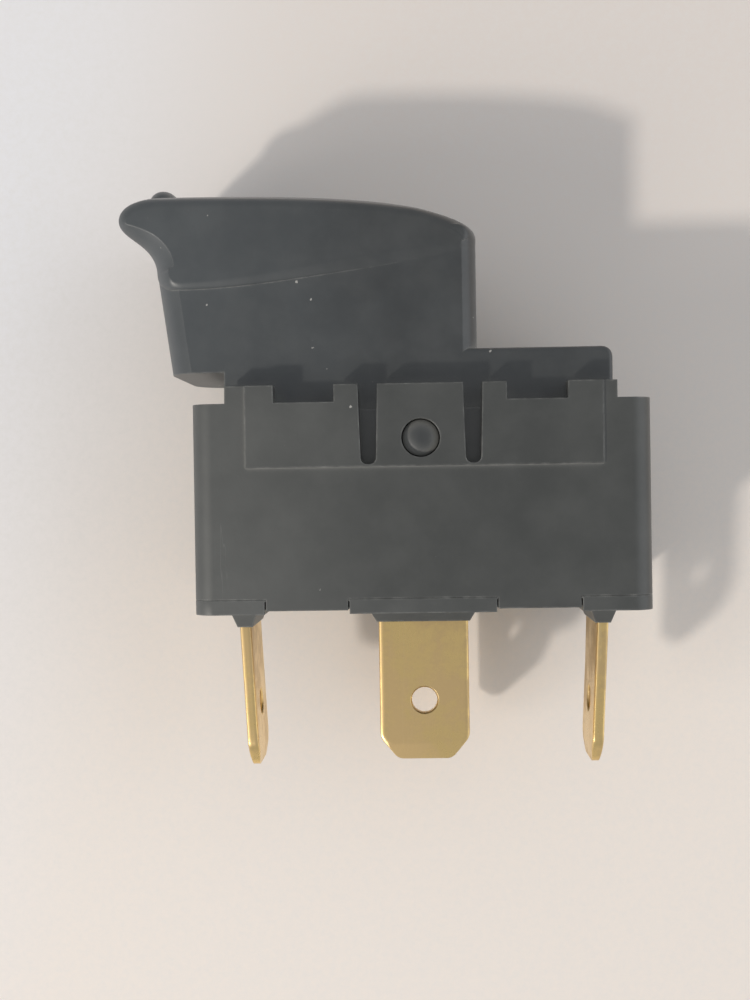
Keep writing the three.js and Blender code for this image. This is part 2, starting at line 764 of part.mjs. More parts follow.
const makeSpring = (y) => {
  const margin = springWire + springEndGap;
  const radius = plungerRadius - springWire;
  const path = new Helix(radius, plungerTop + margin, springSeat - margin, springTurns);
  const wire = new THREE.Shape().absarc(0, 0, springWire, 0, 2 * Math.PI);
  const geometry = new THREE.ExtrudeGeometry(wire, {
    extrudePath: path,
    steps: springTurns * 12,
    curveSegments: 3,
    bevelEnabled: false,
  });
  return toSolid(geometry.translate(0, y, 0));
};

// ---- Finishes ----
const charcoalPlastic = { color: 0x4d5250, roughness: 0.62, metalness: 0 };
const rockerPlastic = { color: 0x43494c, roughness: 0.55, metalness: 0 };
const basePlastic = { color: 0x3c3f3e, roughness: 0.6, metalness: 0 };
const brass = { color: 0xb39b66, roughness: 0.38, metalness: 1 };
const copper = { color: 0xb0764f, roughness: 0.35, metalness: 1 };
const silver = { color: 0xc9c9c4, roughness: 0.25, metalness: 1 };
const acetal = { color: 0xe4e0d2, roughness: 0.45, metalness: 0 };
const springSteel = { color: 0x9a9c9e, roughness: 0.3, metalness: 1 };

const paddleSwitch = new THREE.Group();

const place = (name, solid, finish) => {
  const mesh = new THREE.Mesh(toGeometry(solid), new THREE.MeshStandardMaterial(finish));
  mesh.name = name;
  paddleSwitch.add(mesh);
};

place("housing", makeHousing(), charcoalPlastic);
place("terminal_base", makeBase(), basePlastic);
place("rocker", makeRocker(), rockerPlastic);
place("terminal_left", makeLeftTerminal(), brass);
place("terminal_right", makeRightTerminal(), brass);
place("terminal_centre", makeCentreTerminal(), brass);
place("terminal_rear", makeRearTerminal(), brass);
for (const [row, y] of [["front", frontRow], ["rear", rearRow]]) {
  place(`contact_bar_${row}`, makeBar(y), copper);
  place(`plunger_${row}`, makePlunger(y), acetal);
  place(`plunger_spring_${row}`, makeSpring(y), springSteel);
  for (const [side, x] of [["left", -contactX], ["right", contactX]]) {
    place(`moving_contact_${row}_${side}`, makeMovingContact(x, y), silver);
    place(`fixed_contact_${row}_${side}`, makeFixedContact(x, y), silver);
  }
}

export default paddleSwitch;
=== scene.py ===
"""Looks of a console paddle switch: its rocker, housing, base, blades and contact gear.

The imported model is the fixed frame. Sizes below are in millimetres, in the frame's own axes:
+Z out of the console, +X towards the low end of the rocker, +Y across along the pivot.
"""

import logging
import math
from collections.abc import Callable
from dataclasses import dataclass, field
from enum import Enum

import bmesh
import bpy
import numpy as np
from mathutils import Matrix, Vector


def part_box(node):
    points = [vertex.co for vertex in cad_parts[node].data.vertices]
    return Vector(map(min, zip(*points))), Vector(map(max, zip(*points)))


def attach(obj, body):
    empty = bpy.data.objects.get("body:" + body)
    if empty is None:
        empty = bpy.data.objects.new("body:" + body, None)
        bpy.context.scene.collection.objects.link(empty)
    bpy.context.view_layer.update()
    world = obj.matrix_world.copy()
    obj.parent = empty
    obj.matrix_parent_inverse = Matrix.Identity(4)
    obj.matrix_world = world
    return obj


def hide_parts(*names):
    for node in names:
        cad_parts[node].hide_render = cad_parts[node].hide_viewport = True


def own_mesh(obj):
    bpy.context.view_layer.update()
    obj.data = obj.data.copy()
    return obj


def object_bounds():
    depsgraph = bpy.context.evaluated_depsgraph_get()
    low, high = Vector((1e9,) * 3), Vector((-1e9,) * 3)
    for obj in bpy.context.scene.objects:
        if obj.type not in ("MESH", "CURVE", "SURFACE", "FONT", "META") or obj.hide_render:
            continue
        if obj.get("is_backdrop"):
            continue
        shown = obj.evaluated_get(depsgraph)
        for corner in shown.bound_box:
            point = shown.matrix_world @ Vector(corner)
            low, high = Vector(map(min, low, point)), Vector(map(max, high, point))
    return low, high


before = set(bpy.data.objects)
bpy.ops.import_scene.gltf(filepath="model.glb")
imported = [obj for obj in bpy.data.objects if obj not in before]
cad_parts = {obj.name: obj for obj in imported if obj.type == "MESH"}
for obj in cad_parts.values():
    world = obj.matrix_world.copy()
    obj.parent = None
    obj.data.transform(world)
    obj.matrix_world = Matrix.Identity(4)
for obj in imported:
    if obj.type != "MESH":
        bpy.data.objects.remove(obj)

MM = 0.001
log = logging.getLogger("paddle_switch")

# A cubic curve makes a round corner when each pull lies at this share of the way to the corner.
ROUND_PULL = 0.5523
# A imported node's corners that are closer than this, in millimetres, are one corner.
NODE_WELD = 1e-3
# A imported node's faces that meet at less than this are one face.
FLAT_DEGREES = 0.6
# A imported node's edges that turn by more than this are rolled.
ROLL_DEGREES = 28.0

Socket = bpy.types.NodeSocket
Point = tuple[float, float]


# ---------------------------------------------------------------- surfaces


@dataclass
class Surface:
    """A mesh before it is an object: points in millimetres and faces as lists of point numbers."""

    points: np.ndarray
    faces: list

    def moved(self, x: float = 0.0, y: float = 0.0, z: float = 0.0) -> "Surface":
        """The same surface, moved by that many millimetres."""
        return Surface(self.points + np.array([x, y, z]), self.faces)

    def laid(self, x: np.ndarray, y: np.ndarray, z: np.ndarray) -> "Surface":
        """The same faces on points at other places."""
        return Surface(np.column_stack([x, y, z]), self.faces)

    def object(self, name: str, weld: float = 1e-4) -> bpy.types.Object:
        """Makes the object, with doubled points joined and every face pointing out.

        Args:
            name: the object's name.
            weld: points closer than this, in millimetres, become one.

        Returns:
            An object at the origin, its mesh in metres.
        """
        mesh = bpy.data.meshes.new(name)
        mesh.from_pydata(self.points * MM, [], self.faces)
        body = bmesh.new()
        body.from_mesh(mesh)
        bmesh.ops.remove_doubles(body, verts=body.verts, dist=weld * MM)
        bmesh.ops.dissolve_degenerate(body, edges=body.edges, dist=weld * MM)
        bmesh.ops.recalc_face_normals(body, faces=body.faces)
        body.to_mesh(mesh)
        body.free()
        piece = bpy.data.objects.new(name, mesh)
        bpy.context.scene.collection.objects.link(piece)
        return piece


def grid_faces(rows: int, columns: int, round_: bool = True) -> list[list[int]]:
    """Quads between neighbouring rows of a grid of points, which is stored row after row.

    Args:
        rows: number of rows.
        columns: points in a row.
        round_: whether the last column joins the first.

    Returns:
        Faces of four point numbers.
    """
    last = columns if round_ else columns - 1
    row, column = np.meshgrid(np.arange(rows - 1), np.arange(last), indexing="ij")
    following = (column + 1) % columns
    low, high = row * columns, (row + 1) * columns
    quads = np.stack([low + column, low + following, high + following, high + column], axis=-1)
    return quads.reshape(-1, 4).tolist()


@dataclass(frozen=True)
class Edge:
    """How a plate's outline rolls over into its flat sides.

    Fields:
        reach: how far the rolled edge runs in from the outline.
        depth: how far it runs across from the flat side.
        crease: angle in degrees left between the roll and the flat side.
    """

    reach: float
    depth: float
    crease: float = 0.0


@dataclass
class Outline:
    """A closed outline (x, z), built stretch by stretch, each a straight line or a cubic curve."""

    spacing: float = 0.22
    points: list = field(default_factory=list)
    edges: list = field(default_factory=list)
    at: Point = (0.0, 0.0)
    edge: Edge = Edge(0.0, 0.0)

    def start(self, x: float, z: float, edge: Edge) -> "Outline":
        """Sets the first point and the edge there."""
        self.at, self.edge = (x, z), edge
        return self

    def curve(self, near: Point, far: Point, end: Point, edge: Edge | None = None) -> "Outline":
        """Adds a cubic curve: the point at t weighs its four corners by the Bernstein terms of t.

        Args:
            near: pull of the curve at its start.
            far: pull of the curve at its end.
            end: where it ends.
            edge: edge at its end, reached evenly along the way; the same edge if left out.

        Returns:
            The outline itself.
        """
        edge = edge or self.edge
        corners = np.array([self.at, near, far, end], float)
        length = np.linalg.norm(np.diff(corners, axis=0), axis=1).sum()
        count = max(1, math.ceil(length / self.spacing))
        t = (np.arange(count) / count)[:, None]
        weights = np.hstack([(1 - t) ** 3, 3 * t * (1 - t) ** 2, 3 * t * t * (1 - t), t**3])
        self.points.append(weights @ corners)
        before = np.array([self.edge.reach, self.edge.depth, self.edge.crease])
        after = np.array([edge.reach, edge.depth, edge.crease])
        self.edges.append(before + t * (after - before))
        self.at, self.edge = end, edge
        return self

    def line(self, x: float, z: float, edge: Edge | None = None) -> "Outline":
        """Adds a straight stretch."""
        third = ((x - self.at[0]) / 3, (z - self.at[1]) / 3)
        near = (self.at[0] + third[0], self.at[1] + third[1])
        far = (x - third[0], z - third[1])
        return self.curve(near, far, (x, z), edge)

    def corner(self, at: Point, towards: Point, radius: float, edge: Edge | None = None) -> "Outline":
        """Adds a straight stretch and a rounded corner at its end, which turns towards the next point."""
        point = np.array(at, float)
        back = np.array(self.at) - point
        ahead = np.array(towards) - point
        back /= np.linalg.norm(back)
        ahead /= np.linalg.norm(ahead)
        half = math.acos(float(np.clip(back @ ahead, -1, 1))) / 2
        run = radius / math.tan(half)
        handle = run * (1 - ROUND_PULL)
        self.line(*(point + back * run), self.edge)
        return self.curve(
            tuple(point + back * handle),
            tuple(point + ahead * handle),
            tuple(point + ahead * run),
            edge,
        )

    def sampled(self) -> tuple[np.ndarray, np.ndarray]:
        """The outline's points, and reach, depth and crease at each."""
        return np.vstack(self.points), np.vstack(self.edges)


def rounded_box(x0: float, x1: float, z0: float, z1: float, radius: float, edge: Edge) -> Outline:
    """A rectangular outline with rounded corners and one kind of edge."""
    shape = Outline().start((x0 + x1) / 2, z0, edge)
    corners = [(x1, z0), (x1, z1), (x0, z1), (x0, z0)]
    for i, at in enumerate(corners):
        shape.corner(at, corners[(i + 1) % 4], radius)
    return shape.line((x0 + x1) / 2, z0)


def smooth_ring(values: np.ndarray, reach: int) -> np.ndarray:
    """Averages each value with its neighbours round a closed outline."""
    return sum(np.roll(values, shift, axis=0) for shift in range(-reach, reach + 1)) / (2 * reach + 1)


def smoothstep(value: np.ndarray | float, low: float, high: float) -> np.ndarray:
    """Rises from 0 at `low` to 1 at `high` as 3t^2 - 2t^3."""
    t = np.clip((value - low) / (high - low), 0, 1)
    return t * t * (3 - 2 * t)


def plate(
    shape: Outline,
    half: float | Callable[[np.ndarray], np.ndarray],
    steps: int = 8,
    across: int = 20,
    support: float = 0.05,
) -> Surface:
    """A plate that stands on an outline and spans from -half to +half across.

    With u along the outline and v across it, a point is outline(u) + inward(u) * reach(u) * (1 - cos a(v))
    in the outline's plane, at half - depth(u) * (1 - sin a(v)) across: a quarter turn of an ellipse on
    each side, stopped short by the crease, with a plain band between. Both ends close with a flat face.

    Args:
        shape: the outline and its edges.
        half: half the width, or a function that gives it for each x.
        steps: rows in each rolled edge.
        across: rows in the band between them.
        support: width of the flat ring that keeps each end face's shading flat.

    Returns:
        The closed surface.
    """
    points, edges = shape.sampled()
    reach, depth, crease = smooth_ring(edges, 2).T
    tangent = np.roll(points, -1, axis=0) - np.roll(points, 1, axis=0)
    tangent /= np.linalg.norm(tangent, axis=1, keepdims=True)
    turn = np.sign(np.cross(np.roll(points, -1, axis=0) - points, points - points.mean(0)).sum())
    inward = np.column_stack([tangent[:, 1], -tangent[:, 0]]) * turn
    width = half(points[:, 0]) if callable(half) else np.full(len(points), float(half))
    limit = np.pi / 2 - np.radians(crease)
    share = np.linspace(0, 1, steps + 1)[:, None]
    angle = share * limit
    fall = reach * (1 - np.cos(angle)) / (1 - np.cos(limit))
    level = width - depth * (1 - np.sin(angle) / np.sin(limit))
    flat = fall[-1:] + support
    rim_fall = np.vstack([fall, flat])
    rim_level = np.vstack([level, width[None]])
    band = np.linspace(-1, 1, across + 1)[1:-1, None] * (width - depth)
    falls = np.vstack([rim_fall[::-1], np.zeros_like(band), rim_fall])
    levels = np.vstack([-rim_level[::-1], band, rim_level])
    x = points[:, 0] + inward[:, 0] * falls
    z = points[:, 1] + inward[:, 1] * falls
    rows, columns = falls.shape
    body = np.stack([x, levels, z], axis=-1).reshape(-1, 3)
    ends = [list(range(columns)), list(range((rows - 1) * columns, rows * columns))]
    return Surface(body, grid_faces(rows, columns) + ends)


def lathe(profile: np.ndarray, segments: int = 64) -> Surface:
    """A turned solid: each profile point (radius, z) goes once round the Z axis.

    With v along the profile and u the turn, a point is (radius(v) cos u, radius(v) sin u, z(v)).
    """
    u = np.arange(segments) * 2 * np.pi / segments
    radius, height = profile[:, :1], profile[:, 1:]
    x, y = radius * np.cos(u), radius * np.sin(u)
    z = height + 0 * u
    points = np.stack([x, y, z], axis=-1).reshape(-1, 3)
    return Surface(points, grid_faces(len(profile), segments))


def rolled_profile(corners: list[tuple[float, float, float]], steps: int = 6) -> np.ndarray:
    """A profile (radius, z) whose corners [radius, z, roll] are rounded by a quadratic curve."""
    points = np.array([c[:2] for c in corners], float)
    made = [points[:1]]
    t = np.linspace(0, 1, steps + 1)[:, None]
    for i in range(1, len(points) - 1):
        roll = corners[i][2]
        back = points[i - 1] - points[i]
        ahead = points[i + 1] - points[i]
        start = points[i] + back * min(0.5, roll / np.linalg.norm(back))
        end = points[i] + ahead * min(0.5, roll / np.linalg.norm(ahead))
        rounded = (1 - t) ** 2 * start + 2 * t * (1 - t) * points[i] + t * t * end
        made.append(rounded if roll else points[i : i + 1])
    return np.vstack([*made, points[-1:]])


def swept_wire(line: np.ndarray, radius: float, sides: int = 10) -> Surface:
    """A round wire along a line: rings in the plane square to the line, closed by a face at each end.

    The ring's two axes are the direction away from the coil's own axis, made square to the line, and
    the cross product of that with the line.
    """
    along = np.gradient(line, axis=0)
    along /= np.linalg.norm(along, axis=1, keepdims=True)
    out = line * np.array([1, 1, 0])
    out -= along * (out * along).sum(1, keepdims=True)
    out /= np.linalg.norm(out, axis=1, keepdims=True)
    side = np.cross(along, out)
    u = np.arange(sides) * 2 * np.pi / sides
    ring = out[:, None] * np.cos(u)[:, None] + side[:, None] * np.sin(u)[:, None]
    points = (line[:, None] + radius * ring).reshape(-1, 3)
    last = (len(line) - 1) * sides
    ends = [list(range(sides)), list(range(last, last + sides))]
    return Surface(points, grid_faces(len(line), sides) + ends)


def brick(x0: float, x1: float, y0: float, y1: float, z0: float, z1: float) -> Surface:
    """A plain block between two corners, for ribs and cuts inside a moulding."""
    x, y, z = np.meshgrid([x0, x1], [y0, y1], [z0, z1], indexing="ij")
    points = np.column_stack([x.ravel(), y.ravel(), z.ravel()])
    faces = [[0, 1, 3, 2], [4, 6, 7, 5], [0, 4, 5, 1], [2, 3, 7, 6], [0, 2, 6, 4], [1, 5, 7, 3]]
    return Surface(points, faces)


class Combine(Enum):
    """How one solid changes another."""

    JOIN = "UNION"
    CUT = "DIFFERENCE"


def combined(base: bpy.types.Object, tool: Surface, how: Combine) -> bpy.types.Object:
    """Joins a surface to an object, or cuts it out, and drops the tool.

    Args:
        base: the object that is changed.
        tool: the closed surface that changes it.
        how: join or cut.

    Returns:
        The base object with its new mesh.
    """
    helper = tool.object("tool")
    change = base.modifiers.new("combine", "BOOLEAN")
    change.operation = how.value
    change.solver = "MANIFOLD"
    change.object = helper
    settle(base)
    bpy.data.objects.remove(helper)
    return base


def surface_of(mesh: bpy.types.Mesh) -> Surface:
    """A mesh's points, in millimetres, and its faces."""
    points = np.empty(len(mesh.vertices) * 3)
    mesh.vertices.foreach_get("co", points)
    faces = [list(face.vertices) for face in mesh.polygons]
    return Surface(points.reshape(-1, 3) / MM, faces)


def taken(piece: bpy.types.Object) -> Surface:
    """Turns an object back into a surface, and drops the object."""
    surface = surface_of(piece.data)
    bpy.data.objects.remove(piece)
    return surface


def node_box(node: str) -> tuple[Vector, Vector]:
    """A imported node's lowest and highest corners, in millimetres."""
    low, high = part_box(node)
    return low / MM, high / MM


def settle(piece: bpy.types.Object) -> bpy.types.Object:
    """Turns a piece's modifiers into its mesh."""
    depsgraph = bpy.context.evaluated_depsgraph_get()
    mesh = bpy.data.meshes.new_from_object(piece.evaluated_get(depsgraph))
    piece.modifiers.clear()
    piece.data = mesh
    return piece


def shade(piece: bpy.types.Object, sharp_degrees: float = 24.0) -> bpy.types.Object:
    """Smooth shading that follows the larger faces, with edges sharper than the angle kept crisp."""
    mesh = piece.data
    mesh.shade_smooth()
    mesh.set_sharp_from_angle(angle=math.radians(sharp_degrees))
    weigh = piece.modifiers.new("larger faces lead", "WEIGHTED_NORMAL")
    weigh.keep_sharp = True
    weigh.weight = 60
    return settle(piece)


def finished_copy(node: str, name: str, rounding: float) -> bpy.types.Object:
    """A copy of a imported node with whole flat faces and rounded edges.

    The loose triangles are joined at their corners and merged into whole faces, and every edge over
    the limit angle gets a roll of the given width.

    Args:
        node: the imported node.
        name: the new piece's name.
        rounding: width of the roll in millimetres.

    Returns:
        The new piece, which stands for the node.
    """
    piece = surface_of(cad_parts[node].data).object(name, weld=NODE_WELD)
    body = bmesh.new()
    body.from_mesh(piece.data)
    bmesh.ops.dissolve_limit(
        body,
        angle_limit=math.radians(FLAT_DEGREES),
        use_dissolve_boundaries=False,
        verts=body.verts,
        edges=body.edges,
    )
    body.to_mesh(piece.data)
    body.free()
    roll = piece.modifiers.new("rolled edges", "BEVEL")
    roll.width = rounding * MM
    roll.segments = 3
    roll.limit_method = "ANGLE"
    roll.angle_limit = math.radians(ROLL_DEGREES)
    roll.use_clamp_overlap = True
    roll.miter_outer = "MITER_ARC"
    settle(piece)
    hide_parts(node)
    return piece


# ---------------------------------------------------------------- shader wiring


class Wiring:
    """Adds nodes to one tree and links them."""

    def __init__(self, tree: bpy.types.NodeTree) -> None:
        """Starts on an empty tree."""
        self.tree = tree

    def add(self, kind: str, inputs: dict | None = None, **settings: object) -> bpy.types.Node:
        """Adds a node.

        Args:
            kind: node type without its "ShaderNode" prefix.
            inputs: values or sockets for its inputs, by name or number.
            settings: the node's own properties.

        Returns:
            The node.
        """
        node = self.tree.nodes.new("ShaderNode" + kind)
        for key, value in settings.items():
            setattr(node, key, value)
        for key, value in (inputs or {}).items():
            self.feed(node.inputs[key], value)
        return node

    def feed(self, socket: Socket, value: object) -> None:
        """Gives an input a value, or links it to another node's output."""
        if isinstance(value, Socket):
            self.tree.links.new(value, socket)
        else:
            socket.default_value = value

    def math(self, operation: str, *values: float | Socket, clamp: bool = False) -> Socket:
        """What the operation makes of one or two values."""
        node = self.add("Math", dict(enumerate(values)), operation=operation, use_clamp=clamp)
        return node.outputs[0]

    def ramp(self, value: Socket, low: float | Socket, high: float | Socket) -> Socket:
        """0 below `low`, 1 above `high` and a smooth rise between."""
        node = self.add(
            "MapRange",
            {"Value": value, "From Min": low, "From Max": high, "To Min": 0.0, "To Max": 1.0},
            interpolation_type="SMOOTHSTEP",
        )
        return node.outputs["Result"]

    def mix(self, factor: Socket | float, first: object, second: object) -> Socket:
        """Blends two colours."""
        node = self.add("Mix", {"Factor": factor}, data_type="RGBA", clamp_factor=True)
        self.feed(node.inputs[6], first)
        self.feed(node.inputs[7], second)
        return node.outputs[2]

    def laid_over(self, mask: Socket, share: float, under: object, over: object) -> Socket:
        """Lays one colour over another where a mask is, and nowhere by more than that share."""
        return self.mix(self.math("MULTIPLY", mask, share), under, over)

    def relief(self, height: Socket, strength: float, distance: float, corner: float) -> Socket:
        """A normal that shows relief, and rounds the crisp edges.

        Args:
            height: the relief.
            strength: how much of it shows.
            distance: its height in millimetres.
            corner: radius in millimetres by which light rounds the edges.

        Returns:
            The normal.
        """
        rounded = self.add("Bevel", {"Radius": corner * MM}, samples=6).outputs["Normal"]
        inputs = {"Strength": strength, "Distance": distance * MM, "Height": height, "Normal": rounded}
        return self.add("Bump", inputs).outputs["Normal"]

    def between(self, factor: Socket, first: float, second: float) -> Socket:
        """Blends two numbers."""
        node = self.add("Mix", {"Factor": factor}, data_type="FLOAT", clamp_factor=True)
        self.feed(node.inputs[2], first)
        self.feed(node.inputs[3], second)
        return node.outputs[0]

    def noise(
        self,
        vector: Socket,
        scale: float | Socket,
        detail: float = 3.0,
        rough: float = 0.55,
    ) -> Socket:
        """Cloud-like noise around one half."""
        inputs = {"Vector": vector, "Scale": scale, "Detail": detail, "Roughness": rough}
        return self.add("TexNoise", inputs).outputs["Fac"]

    def stretched(self, vector: Socket, stretch: tuple[float, float, float]) -> Socket:
        """The vector with each axis scaled by its own amount."""
        node = self.add("VectorMath", {0: vector, 1: stretch}, operation="MULTIPLY")
        return node.outputs[0]


def colour(red: float, green: float, blue: float) -> tuple[float, float, float, float]:
    """An opaque colour in linear light."""
    return (red, green, blue, 1.0)


def darker(tint: tuple, share: float) -> tuple:
    """A colour with only that share of its light."""
    return colour(*(part * share for part in tint[:3]))


@dataclass(frozen=True)
class Effect:
    """A look that several materials share, as one node group.

    Fields:
        name: the group's name.
        inputs: each input's name and usual value; a vector input has None.
        outputs: names of the number outputs.
        fill: adds the group's nodes and returns a socket for each output.
    """

    name: str
    inputs: dict
    outputs: tuple
    fill: Callable[[Wiring, dict], tuple]

    def tree(self) -> bpy.types.NodeTree:
        """The node group, built the first time it is asked for."""
        known = bpy.data.node_groups.get(self.name)
        if known:
            return known
        tree = bpy.data.node_groups.new(self.name, "ShaderNodeTree")
        for name, value in self.inputs.items():
            kind = "NodeSocketVector" if value is None else "NodeSocketFloat"
            socket = tree.interface.new_socket(name, in_out="INPUT", socket_type=kind)
            if value is not None:
                socket.default_value = value
        for name in self.outputs:
            tree.interface.new_socket(name, in_out="OUTPUT", socket_type="NodeSocketFloat")
        source = tree.nodes.new("NodeGroupInput")
        target = tree.nodes.new("NodeGroupOutput")
        made = self.fill(Wiring(tree), {socket.name: socket for socket in source.outputs if socket.name})
        for name, socket in zip(self.outputs, made):
            tree.links.new(socket, target.inputs[name])
        return tree

    def place(self, wiring: Wiring, vector: Socket, **values: float) -> bpy.types.Node:
        """Puts the effect into a material with that material's own values."""
        node = wiring.add("Group", node_tree=self.tree())
        wiring.feed(node.inputs["Position"], vector)
        for name, value in values.items():
            node.inputs[name.replace("_", " ").capitalize()].default_value = value
        return node


def fill_grain(w: Wiring, given: dict) -> tuple[Socket, ...]:
    """Spark-eroded mould grain: fine noise over a coarser cell pattern."""
    fine = w.noise(given["Position"], given["Scale"], 2.0)
    coarse = w.math("MULTIPLY", given["Scale"], 0.6)
    inputs = {"Vector": given["Position"], "Scale": coarse, "Smoothness": 0.6}
    cells = w.add("TexVoronoi", inputs, feature="SMOOTH_F1").outputs["Distance"]
    return (w.math("ADD", w.math("MULTIPLY", fine, 0.7), w.math("MULTIPLY", cells, 0.5)),)


def fill_edges(w: Wiring, given: dict) -> tuple[Socket, ...]:
    """Edges: where the normal, averaged over a small radius, leaves the true normal; broken up by noise."""
    averaged = w.add("Bevel", {"Radius": given["Reach"]}, samples=6).outputs["Normal"]
    true = w.add("NewGeometry").outputs["Normal"]
    agree = w.add("VectorMath", {0: averaged, 1: true}, operation="DOT_PRODUCT").outputs["Value"]
    edge = w.ramp(w.math("SUBTRACT", 1.0, agree), 0.01, 0.12)
    patches = w.noise(given["Position"], given["Breakup"], 4.0, 0.65)
    broken = w.ramp(patches, w.math("SUBTRACT", 0.75, given["Amount"]), 0.8)
    return edge, w.math("MULTIPLY", edge, broken)


def fill_dust(w: Wiring, given: dict) -> tuple[Socket, ...]:
    """Dust and painted fill: a film that thickens in corners, partly dust and partly painted light that
    lifts their shade, and ragged specks of uneven size that lie in flocks.
    """
    near = w.add("AmbientOcclusion", {"Distance": given["Reach"]}, samples=6, only_local=False)
    # Partly painted fill light: corners and recesses get a lighter film by how sheltered they are, which
    # lifts their shade.
    sheltered = w.ramp(w.math("SUBTRACT", 1.0, near.outputs["AO"]), 0.08, 0.6)
    cloud = w.ramp(w.noise(given["Position"], 0.35, 5.0, 0.6), 0.3, 0.75)
    film = w.math("ADD", sheltered, w.math("MULTIPLY", cloud, 0.1), clamp=True)
    ragged = w.add("TexNoise", {"Vector": given["Position"], "Scale": 7.0}).outputs["Color"]
    strayed = w.add("VectorMath", {0: ragged, "Scale": 0.22}, operation="SCALE").outputs[0]
    place = w.add("VectorMath", {0: given["Position"], 1: strayed}, operation="ADD").outputs[0]
    cells = w.add("TexVoronoi", {"Vector": place, "Scale": given["Specks"], "Randomness": 1.0})
    size = w.add("SeparateColor", {"Color": cells.outputs["Color"]}).outputs["Red"]
    shown = w.ramp(size, w.math("SUBTRACT", 1.0, given["Density"]), 1.0)
    flocks = w.ramp(w.noise(given["Position"], 0.11, 1.0), 0.36, 0.6)
    reach = w.math("MULTIPLY", shown, w.math("MULTIPLY", flocks, 0.13))
    speck = w.ramp(w.math("SUBTRACT", reach, cells.outputs["Distance"]), 0.0, 0.02)
    return film, speck


def fill_scuffs(w: Wiring, given: dict) -> tuple[Socket, ...]:
    """Scuffs: thin ridges of a noise field that was drawn out along one axis before it came in."""
    wander = w.noise(given["Position"], w.math("MULTIPLY", given["Scale"], 0.3), 2.0)
    field_ = w.noise(given["Position"], given["Scale"], 2.0, 0.4)
    ridge = w.math("ABSOLUTE", w.math("SUBTRACT", field_, 0.5))
    line = w.math("SUBTRACT", 1.0, w.ramp(ridge, 0.0, given["Width"]))
    kept = w.ramp(wander, w.math("SUBTRACT", 0.8, given["Amount"]), 0.85)
    return (w.math("MULTIPLY", line, kept),)


def fill_clouds(w: Wiring, given: dict) -> tuple[Socket, ...]:
    """Slow unevenness of a surface, from broad to middling patches."""
    broad = w.noise(given["Position"], given["Scale"], 2.0)
    middling = w.noise(given["Position"], w.math("MULTIPLY", given["Scale"], 5.0), 4.0, 0.6)
    both = w.math("ADD", w.math("MULTIPLY", broad, 0.65), w.math("MULTIPLY", middling, 0.35))
    return (w.ramp(both, 0.34, 0.66),)


GRAIN = Effect("Mould grain", {"Position": None, "Scale": 5.0}, ("Height",), fill_grain)
EDGES = Effect(
    "Worn edges",
    {"Position": None, "Reach": 0.0002, "Amount": 0.3, "Breakup": 1.2},
    ("Edge", "Wear"),
    fill_edges,
)
# Dust specks, and a corner film that is partly painted fill light.
DUST = Effect(
    "Settled dust and painted fill",
    {"Position": None, "Reach": 0.0012, "Specks": 1.4, "Density": 0.12},
    ("Film and painted fill", "Speck"),
    fill_dust,
)
SCUFFS = Effect(
    "Scuffs",
    {"Position": None, "Scale": 1.0, "Width": 0.02, "Amount": 0.3},
    ("Mask",),
    fill_scuffs,
)
CLOUDS = Effect("Clouds", {"Position": None, "Scale": 0.12}, ("Tone",), fill_clouds)


class Drawn(Enum):
    """The axis along which a scuff or a rolling mark runs."""

    ALONG_X = (0.05, 1.0, 1.0)
    ALONG_Y = (1.0, 0.05, 1.0)
    ALONG_Z = (1.0, 1.0, 0.05)


def new_material(name: str) -> tuple[bpy.types.Material, Wiring, bpy.types.Node, Socket]:
    """A material with its Principled shader and its position in millimetres.

    Args:
        name: the material's name.

    Returns:
        The material, its wiring, the shader node and the position socket.
    """
    material = bpy.data.materials.new(name)
    material.use_nodes = True
    wiring = Wiring(material.node_tree)
    shader = material.node_tree.nodes["Principled BSDF"]
    place = wiring.add("TexCoord").outputs["Object"]
    position = wiring.add("VectorMath", {0: place, "Scale": 1 / MM}, operation="SCALE").outputs[0]
    return material, wiring, shader, position


